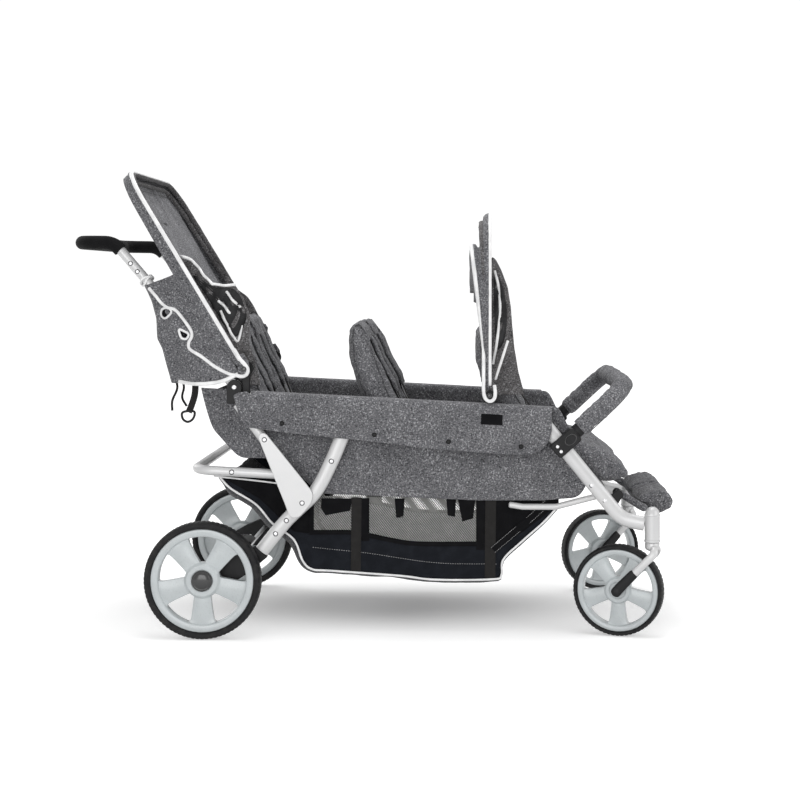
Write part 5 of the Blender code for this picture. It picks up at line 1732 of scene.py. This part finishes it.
def makeFrontCanopy():
    canopy = frontCanopy
    pivot = canopy["pivot"]
    bm = hoodSkin(canopy, frontDepth, 0.3915, 0.3262, twoLeaves)
    hood = makeHood("front", canopy, bm)
    main = bowSleeve("frontHoodPiping", canopy, canopy["main"], bowPlace["mainY"], canopy["angle"], piping,
        "front_canopy_main", 0.0098, bowPlace["pipingThick"], 0.026, "front_canopy_main_bow", 0.06)
    bowSleeve("frontMidSleeve", canopy, canopy["mid"], bowPlace["midY"], canopy["midAngle"], clothInside,
        "front_canopy_mid", 0.014, 0.0076, 0.03, "front_canopy_mid_bow", 0.22)
    bowSleeve("frontFixedPiping", canopy, bowPlace["fixed"], bowPlace["fixedY"], bowPlace["fixedAngle"],
        piping, "chassis", 0.0128, 0.011, 0.034, "front_canopy_fixed_bow", 0.08)
    for side, sign in sides:
        loop = mm(-15.8, 70, -16, 40, -16, 12, -12.5, -5, -4, -13.5, 5, -13.5, 12, -6, 14, 8, 12, 26)
        points = [(pivot[0] + a, sign * (0.3476 if b < 0.02 else 0.342 if b < 0.05 else 0.336), pivot[1] + b)
            for a, b in loop]
        top = canopyAt(canopy, sign * (bowPlace["fixedY"] + 0.002), 0.13, 0, bowPlace["fixedAngle"])
        points.insert(0, tuple(top))
        pipingLine("frontHoodCurl_" + side, points, 0.0094, 0.005, "chassis", (0, sign, 0), 60)
        stack = mm(6, 325, 6, 344.8, 6.6, 345.6, 6.2, 347.4, 4, 348.6, 1.2, 349)
        addSided("frontKnob", side, lathe(stack, (pivot[0], 0, pivot[1]), (0, 1, 0), 40), glossBlack,
            smooth=35)
        cup = plate(arc(pivot, 0.0206, 172, 368, 26), 0.3428, 0.3456)
        addSided("frontCup", side, cup, blackPlastic, bevel=0.0008)
        lug = arc(pivot, 0.0118, 0, 180, 14) + [(pivot[0] - 0.016, 0.603), (pivot[0] + 0.016, 0.6018)]
        addSided("frontLug", side, plate(lug, 0.3086, 0.325), blackPlastic, bevel=0.0012)
    foldedWindow("front", frontFold)


# Bag between the handle's arms, with its side panels

bag = {"bendLow": (-0.46, 0, 0.656), "bendHigh": (-0.53, 0, 0.84), "outline": mm(-588, 902, -572, 890, -545,
    862, -520, 830, -485, 788, -482, 757, -455, 724, -423, 697, -415, 678, -421, 667, -448, 653, -516,
    653, -541, 728, -551, 773, -562, 856), "front": mm(-514, 934, -494, 906, -464, 864, -424, 800, -394,
    754, -368, 716, -346, 678), "rear": mm(-590, 905, -570, 863, -561.5, 820, -559, 765, -545, 738, -535.7,
    700, -520.7, 650)}


def armSide(z):
    # outside of the handle's arm at a height
    t = (z - handle["hinge"][1]) / (handle["armTop"][1] - handle["hinge"][1])
    centre = lerp(handle["clevisY"], handle["armY"] + 0.003, min(max(t, 0.0), 1.08))
    return centre + handle["tube"] / 2


def coverPlace(s, t):
    # s runs down the panel, t from the canopy to the rear edge and round it
    f0, f1, r0, r1 = [tableValue([(k / 6, p[axis]) for k, p in enumerate(bag[edge])], s)
        for edge in ("front", "rear") for axis in (0, 1)]
    turn = 0.82
    along = min(t / turn, 1.0)
    x, z = lerp(f0, r0, along), lerp(f1, r1, along)
    sag = tableValue([(0.0, 0.0), (0.126, 0.008), (0.246, 0.013), (0.395, 0.0145), (0.618, 0.01),
        (0.767, 0.005), (1.0, 0.0)], along)
    z -= sag * ease((s - 0.84) / 0.16)
    arm = armSide(z) + 0.0042
    y = lerp(0.3296, arm, ease(along / 0.22))
    y = lerp(y, lerp(arm - 0.001, 0.301, ease((s - 0.12) / 0.25)), ease((along - 0.6) / 0.35))
    if t > turn:
        angle = pi / 2 * (t - turn) / (1 - turn)
        x -= 0.01 * sin(angle)
        y -= 0.03 * (1 - cos(angle)) + 0.006 * sin(angle)
    push = 0.006 * wobble((x, 0, z), 0.06, 4) + 0.003 * wobble((x, 0, z), 0.022, 9)
    push -= 0.003 * dent((x + 0.5) + (z - 0.8) * 0.62 - 0.022, 0.005)
    y += push * min(1.0, along * 5) * (0.3 if y > 0.325 else 1.0)
    return vec(x, y, z)


def makeCover():
    shares = mm(1000, 900, 950, 970, 965, 980, 880, 1000, 1000, 450, 1020, 1000, 0, 1030, 1000, by=3)
    bm = stuffed(bag["outline"], stations(shares, 0.2835), (-0.5, 0.76))
    obj = addPiece("coverBag", bm, cloth, None, node="back_cover")
    puff(obj, 3.0, 0.007, 0.007, 0.003)

    def folds(place, normal):
        behind = max(0.0, -normal.x)
        push = 0.008 * wobble(place, 0.08, 2) + 0.004 * wobble(place, 0.03, 6)
        push -= 0.006 * dent(place.z - 0.7 - 0.006 * sin(place.y * 22), 0.0045) * behind
        push -= 0.004 * dent(abs(place.y) - 0.215, 0.0045) * behind * (1 if place.z < 0.86 else 0)
        push -= 0.004 * dent(place.z - 0.862, 0.004) * behind
        push -= 0.007 * dent(place.z - 0.775 - 0.03 * cos(place.y * 9), 0.012) * behind
        return push

    pressed(obj, folds)
    smoothed(obj)
    surface = Surface(obj)
    blendCover(obj)
    line = [(-0.62, lerp(-0.262, 0.262, i / 30), 0.862 + 0.004 * cos(i / 30 * pi * 2)) for i in range(31)]
    cordOn("coverPiping0", surface, line, 0.0032, piping, "handle", 90)
    for side, sign in sides:
        bm = sheetOf([[coverPlace(i / 44, j / 40) for j in range(41)] for i in range(45)])
        panel = addSided("coverSide", side, bm, cloth, None, subdivide=1, thick=0.0022)
        blendCover(panel)

        def onPanel(points, lift, sign=sign):
            out = []
            for x, z in points:
                y = min(coverAcross(x, z), 0.34)
                out.append((x, sign * (y + lift), z))
            return out

        curve = mm(-583, 897, -566, 878, -552, 861, -534, 847, -518, 843, -503, 830, -474, 791, -470,
            772, -477, 757, -474, 740, -444, 721, -409, 695, -372, 676, -350, 672.5)
        blendCover(pipingLine("coverCurve_" + side, onPanel(curve, 0.0026), 0.0085, 0.0052, None,
            (0, sign, 0), 90))
        hem = mm(-506, 655.6, -480, 651.5, -454, 650.5, -415, 652.5, -389, 658, -368, 666.5, -350, 676)
        blendCover(pipingLine("coverHem_" + side, onPanel(hem, 0.0022), 0.01, 0.0056, None, (0, sign, 0), 60))
        for k, ring in enumerate((mm(-549, 842, -532, 846, -524, 834, -541, 819, -553, 826),
                mm(-503, 790, -490, 786, -478, 778, -484, 766, -497, 770))):
            loop = onPanel(ring, 0.0026)
            line = pipingLine("coverEyelet%d_%s" % (k, side), loop, 0.0062, 0.0044, None, (0, sign, 0), 44,
                True)
            blendCover(line)
            # a black disc fills the eyelet: painted shade for the dark seen through the hole
            cap = curveThrough(onPanel(ring, 0.0014), 6, True)
            middle = sum((Vector(p) for p in cap), vec(0, 0, 0)) / len(cap)
            hole = addPiece("coverHoleShade%d_%s" % (k, side), sheetOf([[middle.lerp(p, t) for p in cap]
                for t in (0.1, 0.5, 0.9)], True), blackCloth, None, thick=0.0008)
            blendCover(hole)
        # cuff of piping where the panel is tied to the tube
        for k, shift in enumerate((0.0, 0.0075)):
            centre = vec(-0.5905 - shift * 0.65, sign * 0.2955, 0.915 + shift * 0.76)
            along = vec(-0.242, 0, 0.285).normalized()
            ring = []
            for i in range(30):
                angle = 2 * pi * i / 30
                across = vec(0, 1, 0) * cos(angle) + along.cross(vec(0, 1, 0)) * sin(angle)
                ring.append(tuple(centre + across * 0.0162 + along * 0.0035 * sin(angle * 2 + k * 2)))
            pipingLine("cuff%d_%s" % (k, side), ring, 0.0076, 0.006, "handle", (0, 0, 1), 60, True)
    # ties that hang under the bag
    for k, (x, y, z, drop, lean) in enumerate(((-0.522, -0.262, 0.654, 0.078, -0.012),
            (-0.508, -0.25, 0.653, 0.066, 0.01))):
        points = [vec(x + lean * t * t + 0.004 * sin(t * 7), y - 0.004 * t, z - drop * t)
            for t in [i / 16 for i in range(17)]]
        addPiece("tie%d" % k, sweep(points, barSection(0.006, 0.0016), (0, 1, 0)), strapWeb)
    web = [vec(-0.466, -0.29, 0.655), vec(-0.468, -0.292, 0.62), vec(-0.477, -0.292, 0.59),
        vec(-0.484, -0.292, 0.574)]
    addPiece("tetherWeb", sweep(evenly(curveThrough(web, 6), 24), barSection(0.017, 0.002), (0, 1, 0)),
        strapWeb)
    ring = mm(-499, 574, -470, 576, -472, 558, -486, 549, -499, 557)
    pipingLine("tetherRing", [(x, -0.292, z) for x, z in ring], 0.0062, 0.0056, "chassis", (0, 1, 0), 60,
        True, blackPlastic, 0.0)


def coverAcross(x, z):
    # how far out the side panel stands at a place seen from the side
    best, found = 1.0, 0.3
    for i in range(31):
        for j in range(29):
            place = coverGrid[i][j]
            far = (place.x - x) ** 2 + (place.z - z) ** 2
            if far < best:
                best, found = far, place.y
    return found


def blendCover(obj):
    # bakes the piece's modifiers and placement into its mesh
    bend(obj, "chassis", "handle", vec(*bag["bendLow"]), vec(*bag["bendHigh"]))


coverGrid = [[coverPlace(i / 30, j / 34) for j in range(29)] for i in range(31)]


makeRearCanopy()
makeFrontCanopy()
makeCover()
print("canopies and cover are made")

# Storage basket

basket = {"y": 0.2905, "edgeY": 0.2945, "windowStart": -0.168, "under": mm(-406, 408, -374, 374, -309,
    333, -265, 283, -210, 241, -187, 186, -162, 164, -112, 160, 67, 147, 157, 137, 308, 138, 330, 150, 335,
    190, 387, 240, 440, 287, 479, 330), "seam": mm(-406, 410, -300, 350, -210, 264, -165, 258, -61,
    258, -14.6, 250, 76, 232, 134, 228, 264, 228, 335, 232, 387, 264, 440, 304, 479, 340),
    "top": mm(-406, 416, -370, 423, -165, 416, -145, 400, -130, 356, 0, 354, 360, 354, 479, 350),
    "stitch": mm(-161, 223, -19, 208, 156, 183, 320, 179), "straps": ((-0.061, -0.035), (0.287, 0.315)),
    "bands": ((-0.035, -0.014), (0.264, 0.287))}
basketCloth = plainCloth("basketCloth", (0.0105, 0.0118, 0.015), 0.0019, 0.86)
padCloth = heatherCloth("heatherPad", 0.84)
liningPale = plainCloth("paleLining", (0.62, 0.62, 0.61), 0.003)
thread = plainCloth("greyThread", (0.3, 0.3, 0.3), 0.001)


def basketAcross(x, z):
    # the side bellies a little, with folds that hang from the top
    low, high = tableValue(basket["under"], x), tableValue(basket["top"], x)
    share = clamp((z - low) / max(high - low, 0.01))
    push = 0.0022 * sin(pi * share) * cos((x - 0.08) * 4)
    push += 0.0034 * wobble((x * 1.4, 0, z * 0.4), 0.04, 5) * sin(pi * min(1.0, share * 1.1))
    push += 0.0012 * wobble((x, 0, z), 0.016, 2) * sin(pi * share)
    return basket["y"] + push


def basketPanel(name, sign, start, end, lower, upper, material, count, rows=14, out=0.0, thick=0.0016):
    columns = []
    for i in range(count + 1):
        x = lerp(start, end, i / count)
        low, high = tableValue(lower, x), max(tableValue(lower, x) + 0.0015, tableValue(upper, x))
        columns.append([(x, basketAcross(x, lerp(low, high, k / rows)) + out, lerp(low, high, k / rows))
            for k in range(rows + 1)])
    return addPiece(name, flip(sheetOf(columns), sign), material, thick=thick)


def basketStrip(name, sign, points, width, material, out=0.0026, thick=0.0018, count=40):
    path = upright(points)
    line = evenly(curveThrough(path, 8) if len(path) > 2 else path, count)
    placed_ = [vec(p.x, sign * (basketAcross(p.x, p.z) + out), p.z) for p in line]
    bm = sweep(placed_, barSection(width, thick), (0, 1, 0))
    return addPiece(name, bm, material, smooth=60)


def stitches(name, points, gap, length, radius, normal):
    line = [Vector(p) for p in points]
    total = sum((b - a).length for a, b in zip(line, line[1:]))
    count = max(2, int(total / gap))
    even = evenly(line, count + 1)
    bm = bmesh.new()
    for a, b in zip(even, even[1:]):
        along = (b - a).normalized()
        across = along.cross(Vector(normal)).normalized() * radius
        out = Vector(normal) * radius * 0.7
        first, last = a, a + along * length
        ring = [bm.verts.new(first - across), bm.verts.new(first + across), bm.verts.new(last + across),
            bm.verts.new(last - across)]
        top = [bm.verts.new(v.co + out) for v in ring]
        bm.faces.new(top)
        for k in range(4):
            bm.faces.new((ring[k], ring[(k + 1) % 4], top[(k + 1) % 4], top[k]))
    addPiece(name, bm, thread)


def makeBasket():
    rows = []
    line = evenly(curveThrough([(x, 0, z) for x, z in basket["under"]], 3), 120)
    for p in line:
        row = []
        for j in range(61):
            y = lerp(-0.2915, 0.2915, j / 60)
            belly = 1 - abs(y / 0.2915) ** 16
            slope = ease((-0.15 - p.x) / 0.06)
            sag = (-0.012 - 0.003 * slope) * belly + 0.0036 * wobble((p.x, y, 0), 0.07, 4) * belly
            sag += 0.0014 * wobble((p.x, y, 0), 0.024, 7) * belly
            row.append((p.x - 0.018 * slope * belly * ease((p.x + 0.406) / 0.05), y, p.z + sag))
        rows.append(row)
    floor = addPiece("basketFloor", sheetOf(rows), clothPaintedShade, node="storage_basket", thick=0.0018)
    rows = [[(x, y, z + 0.006) for x, y, z in row[2:-2]] for row in rows[20:104]]
    addPiece("basketLining", sheetOf(rows), liningPale, thick=0.0008)
    for side, sign in sides:
        basketPanel("basketBandLining_" + side, sign, -0.2, 0.33, basket["under"], basket["seam"], liningPale,
            60, out=-0.0034, thick=0.0008)
        band = basketPanel("basketBand_" + side, sign, -0.406, 0.479, basket["under"], basket["seam"],
            basketCloth, 150)
        rear = basketPanel("basketRear_" + side, sign, -0.406, basket["windowStart"], basket["seam"],
            basket["top"], blackCloth, 50)
        front = basketPanel("basketFront_" + side, sign, 0.264, 0.479, basket["seam"], basket["top"],
            blackCloth, 50)
        net = basketPanel("basketNet_" + side, sign, basket["windowStart"], 0.266, basket["seam"],
            basket["top"], netCloth, 90, thick=0.0)
        for k, (start, end) in enumerate(basket["straps"]):
            middle = (start + end) / 2
            top = 0.352 if k == 0 else 0.346
            basketStrip("basketStrap%d_%s" % (k, side), sign, [(middle - 0.001,
                tableValue(basket["under"], middle) + 0.004), (middle + 0.001, top)], end - start, strapWeb)
        for k, (start, end) in enumerate(basket["bands"]):
            middle = (start + end) / 2
            basketStrip("basketUpright%d_%s" % (k, side), sign,
                [(middle, tableValue(basket["seam"], middle) - 0.012), (middle, 0.351)], end - start,
                blackCloth, 0.0018, 0.0014)
        border = [(x, z + 0.004) for x, z in basket["seam"] if -0.17 < x < 0.28]
        basketStrip("basketBorder_" + side, sign, border, 0.012, blackCloth, 0.0014, 0.0014,
            70)
        basketStrip("basketBorderRear_" + side, sign, [(-0.164, 0.256), (-0.164, 0.39)], 0.012,
            blackCloth, 0.0014, 0.0014)
        slope = mm(308, 216, 360, 260, 412, 304, 450, 340)
        basketStrip("basketSlope_" + side, sign, slope, 0.02, blackCloth, 0.0024, 0.0016, 50)
        for k, shift in enumerate((-0.008, 0.008)):
            line = [(x + shift * 0.65, sign * (basketAcross(x, z) + 0.0036), z - shift * 0.76) for x,
                z in slope]
            stitches("basketSlopeSeam%d_%s" % (k, side), line, 0.0052, 0.003, 0.00055, (0, sign, 0))
        even = evenly(curveThrough([(x, 0, z) for x, z in basket["stitch"]], 8), 90)
        line = [(p.x, sign * (basketAcross(p.x, p.z) + 0.0012), p.z) for p in even]
        stitches("basketSeam_" + side, line, 0.0062, 0.0034, 0.0006, (0, sign, 0))
        edge = [(-0.408, 0.412)] + [(x, z + 0.002) for x, z in basket["under"][1:]]
        points = [(x, sign * basket["edgeY"], z) for x, z in edge]
        cord = pipingLine("basketPiping_" + side, points, 0.0056, 0.004, "chassis", (0, sign, 0), 240)
        # loose ends and pockets behind the net
        hung = (mm(-138, 350, -58, 350, -64, 318, -128, 306, -140, 326), mm(52, 350, 78, 350, 75, 300, 56,
            300), mm(186, 350, 212, 350, 209, 302, 190, 306), mm(216, 350, 262, 350, 256, 298, 228, 290))
        for k, outline in enumerate(hung):
            patch = plate(outline, 0.2926, 0.2936)
            addPiece("basketPocket%d_%s" % (k, side), flip(patch, sign), blackCloth, bevel=0.0006)
        top = [(-0.416, sign * 0.296, 0.408), (-0.32, sign * 0.296, 0.398), (-0.22, sign * 0.296, 0.386)]
        pipingLine("basketTop_" + side, top, 0.0046, 0.004, "chassis", (0, sign, 0), 60)
    print("the basket is made")


# Footrest

footPad = {"centre": 0.118, "half": 0.107, "anchor": (0.74, 0.331), "swell": 0.0045, "voxel": 0.005,
    "outline": mm(690, 338, 700, 352, 728, 361, 755, 366, 775, 357, 786, 338, 787, 326, 782, 311, 760, 298,
    742, 294, 728, 304, 713, 327, 695, 329)}


def makeFootrest():
    x, z, half, inner = 0.632, 0.363, 0.308, 0.245
    path = [(x, half, z), (x, inner, z), (x + 0.075, inner, z - 0.046), (x + 0.075, -inner, z - 0.046),
        (x, -inner, z), (x, -half, z)]
    line = evenly(roundedPath(path, [0.02] * 4, 8), 160)
    addPiece("footTube", sweep(line, ovalSection(0.014, 0.014, 18), (0.3, 0, 1)), paint, "footrest",
        node="footrest_frame")
    middle = [p for p in line if abs(p.y) < inner + 0.004]
    scales = [(1 + 0.15 * wobble(p, 0.02, 3), 1 + 0.1 * wobble(p, 0.03, 3)) for p in middle]
    addPiece("footSleeve", sweep(middle, ovalSection(0.023, 0.02, 18), (0.3, 0, 1), scales=scales,
        round_=0.001), padCloth, "footrest", smooth=70)
    for side, _ in sides:
        cap = lathe([(a, inner + b) for a, b in mm(9.8, 13, 10.8, 15, 10.8, 31, 9.8, 33)], (x, 0, z),
            (0, 1, 0), 24)
        addSided("footHinge", side, cap, blackPlastic, "footrest", bevel=0.0006)
    shares = mm(1000, 950, 620, 975, 985, 800, 930, 1000, 920, 450, 1000, 1000, 0, 1000, 985, by=3)
    bm = stuffed(footPad["outline"], stations(shares, footPad["half"], footPad["centre"]), footPad["anchor"])
    obj = addPiece("footPad_left", bm, padCloth, "footrest", node="foot_pad_left")
    puff(obj, 4.0, footPad["swell"], footPad["voxel"], 0.003)

    def quilt(place, normal):
        push = -0.0034 * dent(place.x - 0.744 + 0.02 * (place.z - 0.33), 0.0034) * max(0.0, normal.z)
        push -= 0.0028 * dent(abs(place.y - footPad["centre"]) - 0.036, 0.0034) * max(0.0, normal.z)
        push += 0.0034 * wobble(place, 0.035, 3) + 0.0018 * wobble(place, 0.015, 8)
        return push

    pressed(obj, quilt)
    smoothed(obj)
    other = linked("footPad_right", moved(obj, mirror=-1))
    smoothed(other)
    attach(other, "footrest")
    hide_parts("foot_pad_right")
    print("the footrest is made")


# Harness of each seat

harness = {"apart": 0.056, "high": 0.745, "low": 0.585, "buckle": (0.13, 0.516), "web": 0.024,
    "pad": (0.048, 0.013), "padLow": 0.615}


def makeHarness(row, side, sign, back, seat):
    offset = rowOffsets[row]
    centre = sign * seatBack["centre"]
    bx, bz = offset + harness["buckle"][0], harness["buckle"][1]
    onBack = Surface(back)
    onSeat = Surface(seat)
    tag = "_%s_%s" % (row, side)
    for k, share in enumerate((-1, 1)):
        y = centre + share * harness["apart"]
        line, pad = [], []
        for i in range(15):
            z = lerp(harness["high"] + 0.02, harness["low"], i / 14)
            near = lerp(y, centre + share * 0.04, i / 14)
            place = onBack.cast((offset + 0.3, near, z), (-1, 0, 0), 0.0022)
            if place is None:
                continue
            line.append(place)
            if harness["padLow"] < z:
                pad.append(place + vec(0.003 if row == "rear" else 0.006, 0, 0))
        last = line[-1]
        end = vec(bx - 0.006, centre + share * 0.01, bz + 0.012)
        for t in (0.25, 0.5, 0.75, 1.0):
            sag = vec(0.004, 0, -0.016) * sin(pi * t)
            line.append(last.lerp(end, t) + sag)
        path = evenly(curveThrough(line, 4), 60)
        addPiece("harnessStrap%d%s" % (k, tag), sweep(path, barSection(0.002, harness["web"]), (0, 1, 0)),
            strapWeb, smooth=60)
        path = evenly(curveThrough(pad, 5), 44)
        scales = []
        for i in range(44):
            round_ = min(1.0, 0.62 + 3.0 * min(i, 43 - i) / 43)
            scales.append((round_ * (1 + 0.05 * wobble(path[i], 0.02, k)), round_
                * (1 + 0.18 * wobble(path[i], 0.03, 4))))
        addPiece("harnessPad%d%s" % (k, tag), sweep(path, ovalSection(harness["pad"][1], harness["pad"][0],
            20), (0, 1, 0), scales=scales, round_=0.003), padCloth, smooth=70)
        hip = [(offset + 0.052, centre + share * 0.118), (offset + 0.078, centre + share * 0.1),
            (offset + 0.104, centre + share * 0.066), (offset + 0.122, centre + share * 0.026)]
        line = []
        for px, py in hip:
            place = onSeat.cast((px, py, 0.6), (0, 0, -1), 0.003)
            if place is not None:
                line.append(place)
        line.append(vec(bx, centre + share * 0.014, bz - 0.002))
        path = evenly(curveThrough(line, 6), 40)
        addPiece("harnessLap%d%s" % (k, tag), sweep(path, barSection(harness["web"] * 0.9, 0.002), (0, 0, 1)),
            strapWeb, smooth=60)
    place = onSeat.cast((offset + 0.15, centre, 0.6), (0, 0, -1), 0.0016)
    crotch = [place, place + vec(-0.003, 0, 0.01), vec(bx, centre, bz - 0.01)]
    addPiece("harnessCrotch" + tag, sweep(evenly(curveThrough(crotch, 6), 24), barSection(0.0022, 0.023),
        (0, 1, 0)), strapWeb, smooth=60)
    body = mm(-15, -19, 15, -19, 19, -11, 18.5, 12, 12, 20, -12, 20, -18.5, 12, -19, -11)
    bm = bmesh.new()
    rings = []
    for depth, grow in mm(-7, 900, -5, 1000, 4.5, 1000, 7.5, 880):
        rings.append([bm.verts.new((bx + depth + b * grow * -0.35, centre + a * grow, bz + b * grow * 0.94))
            for a, b in body])
    addPiece("harnessBuckle" + tag, shell(bm, rings), glossBlack, bevel=0.0012)
    button = lathe(mm(7.5, 0, 7.5, 2.2, 6, 3.4, 2, 3.6), (bx + 0.007, centre, bz), (0.94, 0, 0.35), 20)
    addPiece("harnessButton" + tag, button, blackPlastic, smooth=50)


makeBasket()
makeFootrest()
for (rowName, sideName), back in backs.items():
    makeHarness(rowName, sideName, 1 if sideName == "left" else -1, back, cushions[rowName])
print("harnesses are made")


fallback = {"frame_paint": paint, "fabric": cloth, "mesh_fabric": blackCloth, "black_plastic": blackPlastic,
    "grip_foam": foam, "rim_plastic": rimPlastic, "tyre": rubber, "steel": steel}
for part in frame["record"]["subparts"]:
    node = frame["nodes"][part["node"]]
    node.data.materials.clear()
    node.data.materials.append(fallback[part["material_slot"]])
